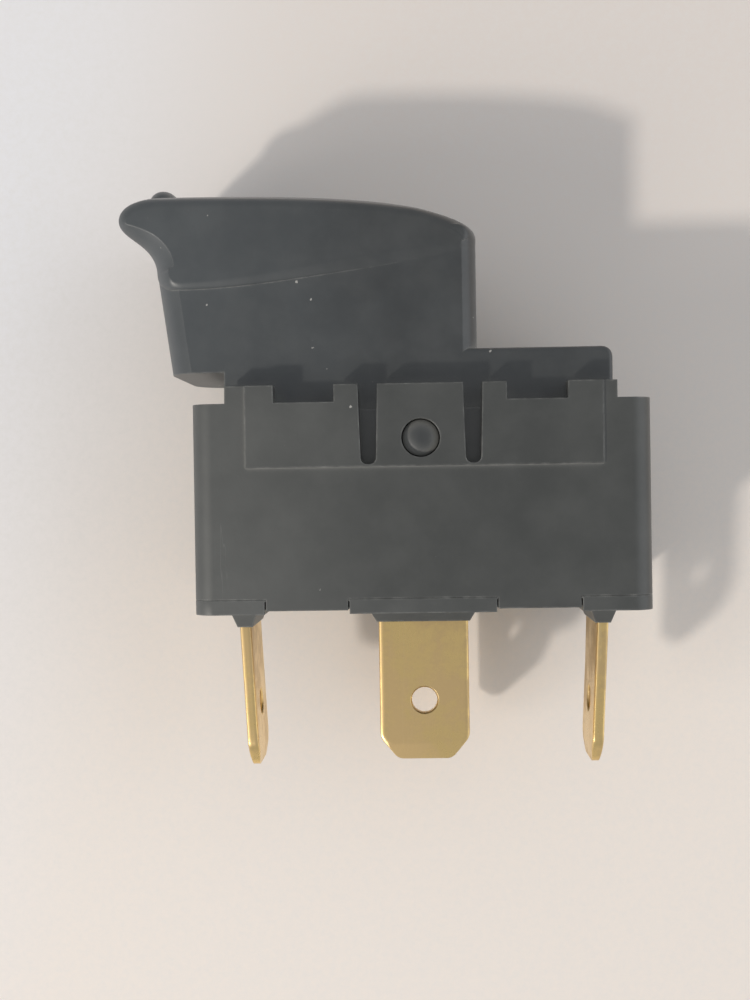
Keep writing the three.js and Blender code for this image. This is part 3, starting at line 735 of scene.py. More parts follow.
@dataclass(frozen=True)
class Moulding:
    """Moulded plastic: grain, uneven gloss, dust, scuffs, lighter rubbed edges, painted light towards the
    lip and a dust film that is partly painted fill.

    Fields:
        name: the finish's name.
        base: colour of the plastic at the low end of the rocker, away from the painted light.
        pale: colour it turns towards, in soft random patches, and more and more towards the lip as painted
            light.
        dust: colour of dust, flash and rubbed edges, and of the painted fill light in corners.
        roughness: at the base colour and at the pale colour and dust film.
        grain: grain cells for each millimetre, and their height in millimetres.
        wear: how much of each edge is rubbed.
        film: strength of the dust film, which is partly painted fill light in corners and recesses.
        specks: specks for each millimetre, and the share of them that shows.
        scuffs: strength of the scuffs.
        drawn: the way the scuffs run.
        corner: radius in millimetres by which light rounds the crisp edges.
        painted_light_span: places along X where the painted light towards the lip begins and where it is
            full.
        shine: strength of the mirror-like part.
        speck: colour of the specks.
        patchiness: share of the pale colour that lies in random patches and doesn't grow along X as painted
            light.
    """

    name: str
    base: tuple
    pale: tuple
    dust: tuple = colour(0.33, 0.33, 0.31)
    roughness: tuple = (0.42, 0.6)
    grain: tuple = (4.5, 0.01)
    wear: float = 0.42
    film: float = 0.3
    specks: tuple = (0.9, 0.3)
    scuffs: float = 0.18
    drawn: Drawn = Drawn.ALONG_Z
    corner: float = 0.1
    painted_light_span: tuple = (15.0, -18.0)
    shine: float = 0.8
    speck: tuple = colour(0.5, 0.49, 0.45)
    patchiness: float = 0.28

    def material(self) -> bpy.types.Material:
        """Builds the material."""
        material, w, shader, position = new_material(self.name)
        patches = CLOUDS.place(w, position, scale=0.1).outputs["Tone"]
        along = w.add("SeparateXYZ", {"Vector": position}).outputs["X"]
        # Painted light: the plastic turns pale towards the lip by a ramp along X, standing for light from
        # the left; the rest of the pale colour lies in random patches.
        painted_light_ramp = w.ramp(along, *self.painted_light_span)
        painted_light_share = w.math("MULTIPLY", painted_light_ramp, 1 - self.patchiness)
        tone = w.math("ADD", painted_light_share, w.math("MULTIPLY", patches, self.patchiness))
        edges = EDGES.place(w, position, reach=self.corner * 2 * MM, amount=self.wear)
        dust = DUST.place(w, position, specks=self.specks[0], density=self.specks[1])
        drawn = w.stretched(position, self.drawn.value)
        scuff = SCUFFS.place(w, drawn, scale=1.7, width=0.012, amount=self.scuffs).outputs["Mask"]
        grain = GRAIN.place(w, position, scale=self.grain[0]).outputs["Height"]
        plastic = w.mix(tone, self.base, self.pale)
        film, speck = dust.outputs["Film and painted fill"], dust.outputs["Speck"]
        rubbed = w.laid_over(edges.outputs["Wear"], 0.6, plastic, self.dust)
        # Painted fill light, partly: the dust film lightens corners and recesses, lifting the shade there as
        # well as standing for dust.
        dust_and_painted_fill_laid = w.laid_over(film, self.film, rubbed, self.dust)
        scuffed = w.laid_over(scuff, 0.25, dust_and_painted_fill_laid, self.dust)
        specked = w.laid_over(speck, 0.7, scuffed, self.speck)
        w.feed(shader.inputs["Base Color"], specked)
        dulled = w.math("MULTIPLY", film, 0.5)
        matt = w.math("ADD", w.math("MULTIPLY", tone, 0.6), dulled, clamp=True)
        w.feed(shader.inputs["Roughness"], w.between(matt, *self.roughness))
        relief = w.math("ADD", grain, w.math("MULTIPLY", speck, 2.0))
        relief = w.math("SUBTRACT", relief, w.math("MULTIPLY", scuff, 0.6))
        w.feed(shader.inputs["Normal"], w.relief(relief, 0.6, self.grain[1], self.corner))
        shader.inputs["Specular IOR Level"].default_value = self.shine
        return material


@dataclass(frozen=True)
class Stamping:
    """Stamped strip metal: rolling marks, tarnish, pits and bright, burnished edges.

    Fields:
        name: the finish's name.
        base: colour of the clean metal.
        tarnish: colour of the dull patches.
        bright: colour of burnished edges.
        roughness: of the clean and of the tarnished surface.
        dullness: how much of the surface is tarnished.
        drawn: the way the strip was rolled.
        corner: radius in millimetres by which light rounds the crisp edges.
        rolling: height of the rolling marks in millimetres.
        pitting: share of the tarnish's light that a pit keeps.
    """

    name: str
    base: tuple
    tarnish: tuple
    bright: tuple
    roughness: tuple = (0.24, 0.45)
    dullness: float = 0.5
    drawn: Drawn = Drawn.ALONG_Z
    corner: float = 0.05
    rolling: float = 0.006
    pitting: float = 0.45

    def material(self) -> bpy.types.Material:
        """Builds the material."""
        material, w, shader, position = new_material(self.name)
        drawn = w.stretched(position, self.drawn.value)
        tone = CLOUDS.place(w, position, scale=0.3).outputs["Tone"]
        edges = EDGES.place(w, position, reach=0.12 * MM, amount=0.6, breakup=0.9)
        rolled = w.noise(drawn, 9.0, 4.0, 0.7)
        scratch = SCUFFS.place(w, drawn, scale=1.4, width=0.01, amount=0.42).outputs["Mask"]
        dust = DUST.place(w, position, reach=0.0008, specks=1.6, density=0.15)
        stained = w.ramp(w.math("ADD", tone, w.math("MULTIPLY", rolled, 0.3)), 0.2, 1.1)
        dull = w.math("MULTIPLY", stained, self.dullness)
        metal = w.mix(dull, self.base, self.tarnish)
        burnished = w.laid_over(edges.outputs["Wear"], 0.8, metal, self.bright)
        scratched = w.laid_over(scratch, 0.35, burnished, self.bright)
        pit = darker(self.tarnish, self.pitting)
        pitted = w.laid_over(dust.outputs["Speck"], 0.6, scratched, pit)
        w.feed(shader.inputs["Base Color"], pitted)
        uneven = w.math("ADD", dull, w.math("MULTIPLY", rolled, 0.35), clamp=True)
        w.feed(shader.inputs["Roughness"], w.between(uneven, *self.roughness))
        relief = w.math("ADD", rolled, w.math("MULTIPLY", scratch, -0.8))
        w.feed(shader.inputs["Normal"], w.relief(relief, 0.35, self.rolling, self.corner))
        shader.inputs["Metallic"].default_value = 1.0
        return material


# Each moulding turns pale towards the lip as painted light over the span given along X, and its dust film is
# partly painted fill in recesses.
HOUSING_PLASTIC = Moulding(
    "housing plastic",
    base=colour(0.033, 0.0355, 0.0325),
    pale=colour(0.072, 0.075, 0.07),
    film=0.45,
    painted_light_span=(2.0, -17.0),
)
ROCKER_PLASTIC = Moulding(
    "rocker plastic",
    base=colour(0.024, 0.0268, 0.0272),
    pale=colour(0.055, 0.063, 0.067),
    roughness=(0.36, 0.5),
    grain=(6.0, 0.007),
    specks=(1.0, 0.45),
    film=0.5,
    painted_light_span=(2.0, -18.0),
    scuffs=0.12,
)
BASE_PLASTIC = Moulding(
    "base plastic",
    base=colour(0.038, 0.041, 0.038),
    pale=colour(0.08, 0.083, 0.078),
    painted_light_span=(6.0, -16.0),
    wear=0.5,
    film=0.45,
    grain=(3.2, 0.016),
)
PLUNGER_PLASTIC = Moulding(
    "plunger acetal",
    base=colour(0.72, 0.69, 0.6),
    pale=colour(0.66, 0.62, 0.52),
    dust=colour(0.3, 0.28, 0.22),
    roughness=(0.3, 0.42),
    grain=(7.0, 0.004),
    wear=0.15,
    film=0.2,
    corner=0.05,
)
BLADE_BRASS = Stamping(
    "blade brass",
    base=colour(0.84, 0.61, 0.26),
    tarnish=colour(0.58, 0.42, 0.22),
    bright=colour(0.86, 0.69, 0.4),
    dullness=0.75,
)
BAR_COPPER = Stamping(
    "bar copper",
    base=colour(0.75, 0.42, 0.26),
    tarnish=colour(0.42, 0.23, 0.14),
    bright=colour(0.9, 0.62, 0.45),
    drawn=Drawn.ALONG_X,
)
CONTACT_SILVER = Stamping(
    "contact silver",
    base=colour(0.8, 0.79, 0.76),
    tarnish=colour(0.42, 0.38, 0.33),
    bright=colour(0.92, 0.91, 0.88),
    dullness=0.35,
    drawn=Drawn.ALONG_Y,
)
SPRING_WIRE = Stamping(
    "spring wire",
    base=colour(0.6, 0.61, 0.62),
    tarnish=colour(0.34, 0.34, 0.35),
    bright=colour(0.82, 0.83, 0.84),
    dullness=0.4,
    drawn=Drawn.ALONG_X,
)


# ---------------------------------------------------------------- the pieces


def dressed(piece: bpy.types.Object, finish: bpy.types.Material, body: str) -> bpy.types.Object:
    """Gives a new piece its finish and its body.

    Args:
        piece: the finished object.
        finish: its material.
        body: the body it moves with.

    Returns:
        The piece.
    """
    piece.data.materials.clear()
    piece.data.materials.append(finish)
    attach(piece, body)
    return piece


@dataclass
class Rocker:
    """The one-piece rocker: head with lip, crown and pip, neck, low step, trunnions and inner ribs.

    Fields:
        lip_tip, top: X of the lip's tip, and height of the head before its crown.
        face: X of the steep face between head and low step.
        step, step_end: height of the low step, and X of its end.
        seam_left, seam_right: height of the head's lower edge at the neck and at the steep face.
        neck_at_seam, neck_lean: X of the neck at the seam, and its way out for each millimetre up.
        skirt_low, toe: height of the skirt over the shoulder, and how much higher its lower edge is cut.
        well_end: how far the part that sinks into the housing reaches to the left.
        head_half, body_half: half width of the head, and of everything below it.
        crown: rise of the head's middle.
        wall: thickness of the moulding.
        skin_low: height of the lower edge under the low step.
        pivot, hub, trunnion, trunnion_end: height of the pivot, radius of the hub and of the
            trunnions, and how far out these reach.
        rows, tube, bore: Y of the two tubes, their radius and their bore's.
        bore_roof, tube_mouth: height of the bores' upper end, and of the tubes' mouths.
        apron, apron_low, apron_proud: half length of each apron, height of its lower edge, and how
            far it stands out from the side.
        pip_from_tip, pip_size: the pip's way from the lip's tip, and its length, width and height.
        beyond: half length, half width and lower end of the blocks that trim the moulding from below.
    """

    lip_tip: float = -20.29
    top: float = 13.9
    face: float = 3.95
    step: float = 3.58
    step_end: float = 12.95
    seam_left: float = 7.85
    seam_right: float = 9.55
    neck_at_seam: float = -17.82
    neck_lean: float = 0.137
    skirt_low: float = 1.9
    toe: float = 0.32
    well_end: float = 13.2
    head_half: float = 7.3
    body_half: float = 7.05
    crown: float = 1.15
    wall: float = 1.25
    skin_low: float = -1.2
    pivot: float = -2.45
    hub: float = 2.6
    trunnion: float = 1.2
    trunnion_end: float = 8.9
    rows: tuple = (-2.18, 3.56)
    tube: float = 2.32
    bore: float = 1.32
    bore_roof: float = 0.9
    tube_mouth: float = -6.2
    apron: float = 5.0
    apron_low: float = -5.3
    apron_proud: float = 0.4
    pip_from_tip: float = 2.0
    pip_size: tuple = (2.1, 3.2, 0.95)
    beyond: tuple = (30.0, 12.0, -9.0)

    def neck(self, z: float) -> float:
        """The neck's place at a height: it leans out as it rises."""
        return self.neck_at_seam - self.neck_lean * (z - self.seam_left)

    def head_outline(self) -> Outline:
        """Head from the steep face over the back, round the lip, down the neck and along the seam."""
        upper = Edge(0.5, 0.5)
        face = Edge(1.0, 1.9, 18.0)
        lip = Edge(0.62, 0.9, 44.0)
        neck = Edge(1.6, 2.8, 34.0)
        seam = Edge(0.42, 0.28, 30.0)
        fading = Edge(0.95, 0.28, 55.0)
        tip, top = self.lip_tip, self.top
        neck_z = top - 4.35
        x = self.neck(neck_z)
        shape = Outline().start(self.face, self.seam_right + 1.3, face)
        shape.curve((self.face, top - 2.4), (self.face - 0.9, top - 1.75), (self.face - 4, top - 1), upper)
        shape.curve((self.face - 8.5, top - 0.15), (tip + 9.2, top), (tip + 2.6, top))
        shape.curve((tip + 0.9, top), (tip - 0.1, top - 0.7), (tip, top - 1.6), lip)
        shape.curve((tip + 0.15, top - 2.7), (x - 0.3, top - 2.85), (x, neck_z), neck)
        low = self.seam_left
        shape.line(self.neck(low + 1.3), low + 1.3, neck)
        shape.curve(
            (self.neck(low + 0.6), low + 0.6),
            (self.neck(low) + 0.6, low),
            (self.neck(low) + 1.4, low),
            seam,
        )
        shape.curve(
            (self.neck(low) + 7.5, low - 0.1),
            (self.face - 8.5, self.seam_right - 0.25),
            (self.face - 1.3, self.seam_right),
            fading,
        )
        shape.curve(
            (self.face - 0.5, self.seam_right + 0.05),
            (self.face, self.seam_right + 0.6),
            (self.face, self.seam_right + 1.3),
            face,
        )
        return shape

    def head_half_at(self, x: np.ndarray) -> np.ndarray:
        """Half width of the head: proud on the left, almost level with the body at the steep face."""
        proud = (self.head_half - self.body_half) * (1 - 0.7 * smoothstep(x, -6.0, self.face))
        return self.body_half + proud

    def tower_outline(self) -> Outline:
        """Neck and tower below the head; its top hides in the head."""
        face = Edge(1.0, 1.65, 18.0)
        neck = Edge(1.6, 2.55, 24.0)
        plain = Edge(0.25, 0.25)
        top = self.seam_right + 2.45
        inner = 0.02
        low = self.skirt_low - 3.0
        straight = self.seam_left + 1.75
        shape = Outline().start(self.face - inner, self.step, face)
        shape.corner((self.face - inner, top), (0, top), 1.2, plain)
        shape.corner((self.neck(top) + 1.6, top), (self.neck(top) + 1.6, 0), 0.9, neck)
        shape.line(self.neck(straight) + inner, straight)
        shape.line(self.neck(low) + inner, low)
        shape.line(self.face - inner - 1.2, low, plain)
        shape.line(self.face - inner, low + 1.2, face)
        return shape.line(self.face - inner, self.step, face)

    def crowned(self, surface: Surface) -> Surface:
        """Raises the head in the middle: z + crown * smoothstep(z) * (1 - (y / half)^2)."""
        x, y, z = surface.points.T
        across = np.clip(np.abs(y) / self.head_half, 0, 1)
        lift = self.crown * smoothstep(z, self.top - 5.5, self.top) * (1 - across**2)
        return surface.laid(x, y, z + lift)

    def trunnion_profile(self) -> np.ndarray:
        """A pin with a domed end: the dome falls from its middle as one minus the square root of 1 - r^2."""
        dome = 0.42
        radius = np.linspace(0, self.trunnion, 14)
        height = self.trunnion_end - dome * (1 - np.sqrt(1 - (radius / self.trunnion * 0.97) ** 2))
        domed = np.column_stack([radius, height])[::-1]
        root = [[0.0, self.body_half - 0.4], [self.trunnion, self.body_half - 0.4]]
        return np.vstack([root, domed])

    def pip(self) -> Surface:
        """The raised mark near the lip: half an ellipsoid with a softened foot."""
        length, width, height = self.pip_size
        angle = np.linspace(0, np.pi / 2, 12)
        foot = 1.12
        dome = np.column_stack([np.cos(angle), np.sin(angle)])
        profile = np.vstack([[[0, -0.8], [foot, -0.8], [foot, -0.08]], dome])
        turned = lathe(profile, 48)
        scaled = Surface(turned.points * np.array([length / 2, width / 2, height]), turned.faces)
        return scaled.moved(self.lip_tip + self.pip_from_tip, 0, self.top + self.crown - 0.05)

    def across_y(self, surface: Surface, sign: float = 1.0) -> Surface:
        """Turns a lathed surface from the Z axis to the pivot's own axis."""
        x, y, z = surface.points.T
        return surface.laid(x, sign * z, y + self.pivot)

    def hollow(self) -> Surface:
        """The space under the head and the low step."""
        plain = Edge(0.0, 0.01)
        left, right = -self.step_end + 1.0, self.step_end - self.wall
        roof, ceiling = self.top - 1.75, self.step - self.wall
        inner = self.face - self.wall
        low = self.pivot - self.hub - 1
        shape = Outline(spacing=0.5).start(left, low, plain)
        shape.line(right, low).corner((right, ceiling), (inner, ceiling), 0.5).line(inner, ceiling)
        shape.corner((inner, roof - 3.2), (inner - 2.4, roof - 1.1), 1.0)
        shape.corner((inner - 2.4, roof - 1.1), (left, roof), 2.0).corner((left, roof), (left, low), 1.0)
        shape.line(left, low)
        return plate(shape, self.body_half - self.wall, steps=1, across=2, support=0.02)

    def pocket(self) -> Surface:
        """The space in the neck, which opens into the hollow."""
        inside = self.body_half - self.wall
        floor = self.skirt_low + 0.4 + self.wall
        start = self.neck(floor) + self.wall + 0.1
        return brick(start, -self.step_end + 1.2, -inside, inside, floor, self.top - 4.8)

    def ribs(self) -> list[Surface]:
        """The rib across over the pivot, the long rib's two stretches, and an apron on each side."""
        inside = self.body_half - self.wall
        rib = self.wall / 2
        ridge = sum(self.rows) / 2
        rear, front = ridge - rib, ridge + rib
        left, roof = -self.step_end + 0.5, self.top - 1.6
        ribs = [
            brick(-rib, rib, -inside - 0.3, inside + 0.3, self.pivot, self.top - 2.2),
            brick(left, self.face - 0.5, rear, front, self.step, self.top - 4.5),
            brick(left, self.face - 4.5, rear, front, self.top - 4.6, roof),
        ]
        for sign in (-1, 1):
            y0, y1 = sorted((sign * inside, sign * (self.body_half + self.apron_proud)))
            ribs.append(brick(-self.apron, self.apron, y0, y1, self.apron_low, self.skin_low + 0.75))
        return ribs

    def barrel(self, radius: float, low: float, high: float, roll: float) -> Surface:
        """A short cylinder round the Z axis, its two rims rolled."""
        return lathe(rolled_profile([(0, low, 0), (radius, low, roll), (radius, high, roll), (0, high, 0)]))

    def build(self, finish: bpy.types.Material) -> bpy.types.Object:
        """Builds and dresses the moulding."""
        length, side, deep = self.beyond
        piece = self.crowned(plate(self.head_outline(), self.head_half_at)).object("rocker_moulding")
        low_step = rounded_box(-self.well_end, self.step_end, self.skin_low, self.step, 0.7, Edge(0.3, 0.3))
        combined(piece, plate(self.tower_outline(), self.body_half), Combine.JOIN)
        below = brick(-length, -self.well_end, -side, side, deep, self.skirt_low + self.toe)
        combined(piece, below, Combine.CUT)
        under = brick(-length, length, -side, side, deep, self.skin_low + 0.01)
        combined(piece, under, Combine.CUT)
        combined(piece, plate(low_step, self.body_half), Combine.JOIN)
        hub = self.barrel(self.hub, -self.body_half, self.body_half, 0.3)
        combined(piece, self.across_y(hub), Combine.JOIN)
        combined(piece, self.hollow(), Combine.CUT)
        combined(piece, self.pocket(), Combine.CUT)
        for rib in self.ribs():
            combined(piece, rib, Combine.JOIN)
        tube = self.barrel(self.tube, self.tube_mouth, self.bore_roof + 1, 0.2)
        for y in self.rows:
            combined(piece, tube.moved(y=y), Combine.JOIN)
        combined(piece, self.pip(), Combine.JOIN)
        for sign in (-1, 1):
            combined(piece, self.across_y(lathe(self.trunnion_profile()), sign), Combine.JOIN)
        mouth, end = self.tube_mouth - 1, self.bore_roof
        bore = np.array([[0, mouth], [self.bore, mouth], [self.bore, end], [0, end]])
        for y in self.rows:
            combined(piece, lathe(bore).moved(y=y), Combine.CUT)
        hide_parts("rocker")
        return dressed(shade(piece), finish, "rocker")


@dataclass
class Shell:
    """Housing and base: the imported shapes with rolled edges, and the flash between them.

    Fields:
        housing_roll, base_roll: width of the rolled edges.
        seam: lower and upper height of the flash.
        footprint: half length, half width and corner radius of the flash.
        open_sides: distances from the middle, along X, between which the flash is left out.
        beyond: reach of the blocks that cut those stretches out.
    """

    housing_roll: float = 0.09
    base_roll: float = 0.05
    seam: tuple = (-13.17, -13.03)
    footprint: tuple = (15.235, 8.985, 1.39)
    open_sides: tuple = (4.94, 10.42)
    beyond: float = 20.0

    def seam_strip(self) -> Surface:
        """The flash that fills the joint between housing and base, just inside their side faces.

        It is a plate on the outline of the housing, laid flat: its outline lies in X and Y.
        """
        half_x, half_y, corner = self.footprint
        low, high = self.seam
        outline = rounded_box(-half_x, half_x, -half_y, half_y, corner, Edge(0.01, 0.01))
        slab = plate(outline, (high - low) / 2, steps=1, across=2, support=0.01)
        x, y, z = slab.points.T
        return slab.laid(x, z, y + (low + high) / 2)

    def build(self, housing: bpy.types.Material, base: bpy.types.Material) -> None:
        """Builds and dresses both mouldings."""
        shell = finished_copy("housing", "housing_moulding", self.housing_roll)
        dressed(shade(shell), housing, "body")
        floor = finished_copy("terminal_base", "base_moulding", self.base_roll)
        strip = self.seam_strip().object("flash")
        near, far = self.open_sides
        for x0, x1 in ((-far, -near), (near, far)):
            gap = brick(x0, x1, -self.beyond, self.beyond, -self.beyond, 0)
            combined(strip, gap, Combine.CUT)
        combined(floor, taken(strip), Combine.JOIN)
        dressed(shade(floor), base, "body")


@dataclass(frozen=True)
class Blade:
    """One push-on blade.

    Fields:
        node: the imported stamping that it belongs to.
        across: whether it stands across the switch, face to the ends.
        lean: degrees by which it leans towards +X below its collar.
    """

    node: str
    across: bool
    lean: float = 0.0


@dataclass
class Terminals:
    """The four stampings: packed straps inside the base, and push-on blades with rolled edges.

    Fields:
        width, thickness: of a blade.
        tip, root: height of a blade's tip, and of its upper end in the base.
        collar: height of the collar's lower end, below which a leaning blade leans.
        cut: length across and up of the cut corners at the tip.
        hole, hole_rise: radius of the hole, and its height over the tip.
        break_: size of the broken rims of the hole.
        taper: length of the tapered tip, and what each face loses there.
        edge: how the outline rolls over into the faces.
        inner_roll: width of the rolled edges of the straps.
        lap: how far strap and blade run into each other.
        beyond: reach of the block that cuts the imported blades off.
        blades: the four blades.
    """

    width: float = 6.3
    thickness: float = 0.8
    tip: float = -24.86
    root: float = -13.2
    collar: float = -15.15
    cut: tuple = (1.25, 1.5)
    hole: float = 0.9
    hole_rise: float = 4.15
    break_: float = 0.1
    taper: tuple = (1.1, 0.17)
    edge: Edge = Edge(0.32, 0.11)
    inner_roll: float = 0.05
    lap: float = 0.25
    beyond: float = 30.0
    blades: tuple = (
        Blade("terminal_left", True, 3.0),
        Blade("terminal_centre", False),
        Blade("terminal_right", True, -3.0),
        Blade("terminal_rear", True),
    )

    def outline(self) -> Outline:
        """A blade's face: straight sides, cut and softened corners at the tip."""
        half, (cut_x, cut_z) = self.width / 2, self.cut
        ring = [
            (half - cut_x, self.tip, 0.7),
            (half, self.tip + cut_z, 0.9),
            (half, self.root, 0.1),
            (-half, self.root, 0.1),
            (-half, self.tip + cut_z, 0.9),
            (-half + cut_x, self.tip, 0.7),
        ]
        shape = Outline(spacing=0.3).start(0.0, self.tip, self.edge)
        for (x, z, radius), ahead in zip(ring, [*ring[1:], (0.0, self.tip)]):
            shape.corner((x, z), ahead[:2], radius)
        return shape.line(0.0, self.tip)

    def hole_tool(self) -> Surface:
        """The hole with its broken rims: a waist with a cone on each side, turned to lie along Y."""
        half, past = self.thickness / 2, 0.4
        wide = self.hole + self.break_ + past
        profile = np.array(
            [
                (0, -half - past),
                (wide, -half - past),
                (self.hole, -half + self.break_),
                (self.hole, half - self.break_),
                (wide, half + past),
                (0, half + past),
            ]
        )
        turned = lathe(profile, 56)
        x, y, z = turned.points.T
        return turned.laid(x, z, -y).moved(z=self.tip + self.hole_rise)

    def wedge(self, sign: int) -> Surface:
        """Takes the tip down to its taper: its inner face is y = half - slope * (top - z)."""
        length, loss = self.taper
        top = self.tip + length
        tool = brick(-self.width, self.width, 0.0, 1.0, self.tip - 1.0, top)
        x, y, z = tool.points.T
        level = self.thickness / 2 + y - loss / length * (top - z)
        return tool.laid(x, sign * level, z)

    def placed(self, surface: Surface, blade: Blade, middle: Vector) -> Surface:
        """Turns a surface to face the ends where the blade does, leans it and moves it to its place."""
        x, y, z = surface.points.T
        if blade.across:
            x, y = y, x
        leaned = x + math.tan(math.radians(blade.lean)) * np.clip(self.collar - z, 0, None)
        return surface.laid(leaned + middle.x, y + middle.y, z)

    def settled_blade(self, blade: Blade, middle: Vector) -> Surface:
        """The finished blade as one surface: plate, hole and tapered tip."""
        plain = plate(self.outline(), self.thickness / 2, steps=5, across=3, support=0.04)
        piece = combined(plain.object("blade"), self.hole_tool(), Combine.CUT)
        for sign in (-1, 1):
            combined(piece, self.wedge(sign), Combine.CUT)
        return self.placed(taken(piece), blade, middle)

    def middle(self, blade: Blade) -> Vector:
        """The middle of the blade's slot in the base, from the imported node's box.

        The end blades lean towards the middle of the switch, so the lean's sign tells the end.
        """
        low, high = node_box(blade.node)
        half = self.thickness / 2
        x = (low.x + high.x) / 2
        if blade.across:
            x = low.x + half if blade.lean > 0 else high.x - half
        y = low.y + self.width / 2 if blade.lean else (low.y + high.y) / 2
        return Vector((x, y, 0))

    def build(self, finish: bpy.types.Material) -> None:
        """Builds and dresses the stampings."""
        reach = self.beyond
        away = brick(-reach, reach, -reach, reach, -reach, self.root - self.lap)
        for blade in self.blades:
            name = blade.node.replace("terminal", "blade")
            piece = finished_copy(blade.node, name, self.inner_roll)
            combined(piece, away, Combine.CUT)
            combined(piece, self.settled_blade(blade, self.middle(blade)), Combine.JOIN)
            dressed(shade(piece, 34.0), finish, "body")


@dataclass
class ContactRow:
    """One pole of the switch: bar, four contacts, plunger and spring.

    Fields:
        row: front or rear.
        wire: radius of the spring's wire.
        dead_turns, live_turns: turns that lie closed at each end, and turns between them.
        travel: how far the plunger slides; not used.
        shank, head: radius of a rivet's shank, and height of its head.
        rivet_hole: radius of the hole in the bar.
        thick, dip, saddle: thickness of the bar, depth of its saddle and half the saddle's length.
    """

    row: str
    wire: float = 0.16
    dead_turns: float = 0.9
    live_turns: float = 4.6
    travel: float = 0.8
    shank: float = 0.55
    head: float = 0.4
    rivet_hole: float = 0.61
    thick: float = 0.4
    dip: float = 0.4
    saddle: float = 2.0

    def round_piece(self, node: str, name: str, corners: list) -> bpy.types.Object:
        """A turned piece that stands for a node, centred on it."""
        low, high = node_box(node)
        centre = (low + high) / 2
        surface = lathe(rolled_profile(corners)).moved(centre.x, centre.y)
        piece = shade(surface.object(name))
        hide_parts(node)
        return piece

    def moving_contact(self, side: str) -> bpy.types.Object:
        """Rivet with a domed head below and a shank up through the bar."""
        node = f"moving_contact_{self.row}_{side}"
        low, high = node_box(node)
        radius, shank = (high.x - low.x) / 2, self.shank
        seat = low.z + self.head
        corners = [
            (0, low.z, 0),
            (radius * 0.5, low.z + 0.03, 0.2),
            (radius, low.z + 0.15, 0.06),
            (radius, seat, 0.05),
            (shank, seat, 0),
            (shank, high.z, 0.06),
            (0, high.z, 0),
        ]
        return self.round_piece(node, f"contact_rivet_{self.row}_{side}", corners)

    def fixed_contact(self, side: str) -> bpy.types.Object:
        """Rivet with a flat, softly edged head above and a shank down through the pad."""
        node = f"fixed_contact_{self.row}_{side}"
        low, high = node_box(node)
        radius, shank = (high.x - low.x) / 2, self.shank
        seat = high.z - self.head
        corners = [
            (0, low.z, 0),
            (shank, low.z, 0.06),
            (shank, seat, 0),
            (radius, seat, 0.04),
            (radius, high.z, 0.12),
            (0, high.z, 0),
        ]
        return self.round_piece(node, f"pad_rivet_{self.row}_{side}", corners)

    def plunger(self) -> bpy.types.Object:
        """Pin with a round nose below and a broken edge above."""
        node = f"plunger_{self.row}"
        low, high = node_box(node)
        radius = (high.x - low.x) / 2
        angle = np.linspace(-np.pi / 2, 0, 9)
        nose = [(radius * math.cos(a), low.z + radius * (1 + math.sin(a)), 0.0) for a in angle[1:]]
        corners = [(0, low.z, 0), *nose, (radius, high.z, 0.16), (0, high.z, 0)]
        return self.round_piece(node, f"plunger_pin_{self.row}", corners)

    def spring(self) -> bpy.types.Object:
        """Coil with closed ends.

        The wire's middle is (r cos a, r sin a, z(a)); the rise z lags at both ends, where the dead
        turns lie on each other a wire's thickness apart, and is even over the live turns.
        """
        node = f"plunger_spring_{self.row}"
        low, high = node_box(node)
        centre = (low + high) / 2
        radius = (high.x - low.x) / 2 - self.wire
        turns = self.live_turns + 2 * self.dead_turns
        a = np.linspace(0, turns, int(turns * 44))
        pitch = 2 * self.wire * 1.04
        rise = high.z - low.z - 2 * self.wire
        live = rise - 2 * self.dead_turns * pitch
        z = np.interp(
            a,
            [0, self.dead_turns, self.dead_turns + self.live_turns, turns],
            [0, self.dead_turns * pitch, self.dead_turns * pitch + live, rise],
        )
        padded = np.pad(z, 12, mode="reflect", reflect_type="odd")
        z = np.convolve(padded, np.full(25, 1 / 25), mode="valid")
        angle = 2 * np.pi * a
        ring = [radius * np.cos(angle), radius * np.sin(angle)]
        line = np.column_stack([*ring, z + low.z + self.wire])
        coil = swept_wire(line, self.wire).moved(centre.x, centre.y)
        piece = shade(coil.object(f"coil_{self.row}"), 60)
        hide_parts(node)
        return piece

    def bar(self) -> bpy.types.Object:
        """See-saw strip: two level arms, a bent saddle between them and a rivet hole in each arm."""
        node = f"contact_bar_{self.row}"
        low, high = node_box(node)
        centre = (low + high) / 2
        half = (high.y - low.y) / 2
        saddle = self.saddle
        arm = high.z - self.thick
        bends = [(low.x, 0), (-saddle, 0), (0, -self.dip), (saddle, 0), (high.x, 0)]
        lower = [(x, arm + z) for x, z in bends]
        upper = [(x, arm + z + self.thick) for x, z in bends[::-1]]
        ring = lower + upper
        radii = [0.12, 0.8, 1.0, 0.8, 0.12, 0.12, 1.2, 0.6, 1.2, 0.12]
        start = ((low.x - saddle) / 2, arm)
        shape = Outline(spacing=0.3).start(*start, Edge(0.05, 0.05))
        for i in [*range(1, len(ring)), 0]:
            shape.corner(ring[i], ring[(i + 1) % len(ring)], radii[i])
        shape.line(*start)
        strip = plate(shape, half, steps=3, across=6, support=0.03).moved(y=centre.y)
        piece = strip.object(f"see_saw_{self.row}")
        below, above, bore = arm - 1, arm + 1, self.rivet_hole
        hole = np.array([[0, below], [bore, below], [bore, above], [0, above]])
        for side in ("left", "right"):
            rivet_low, rivet_high = node_box(f"moving_contact_{self.row}_{side}")
            x = (rivet_low.x + rivet_high.x) / 2
            combined(piece, lathe(hole, 40).moved(x, centre.y), Combine.CUT)
        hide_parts(node)
        return shade(piece)

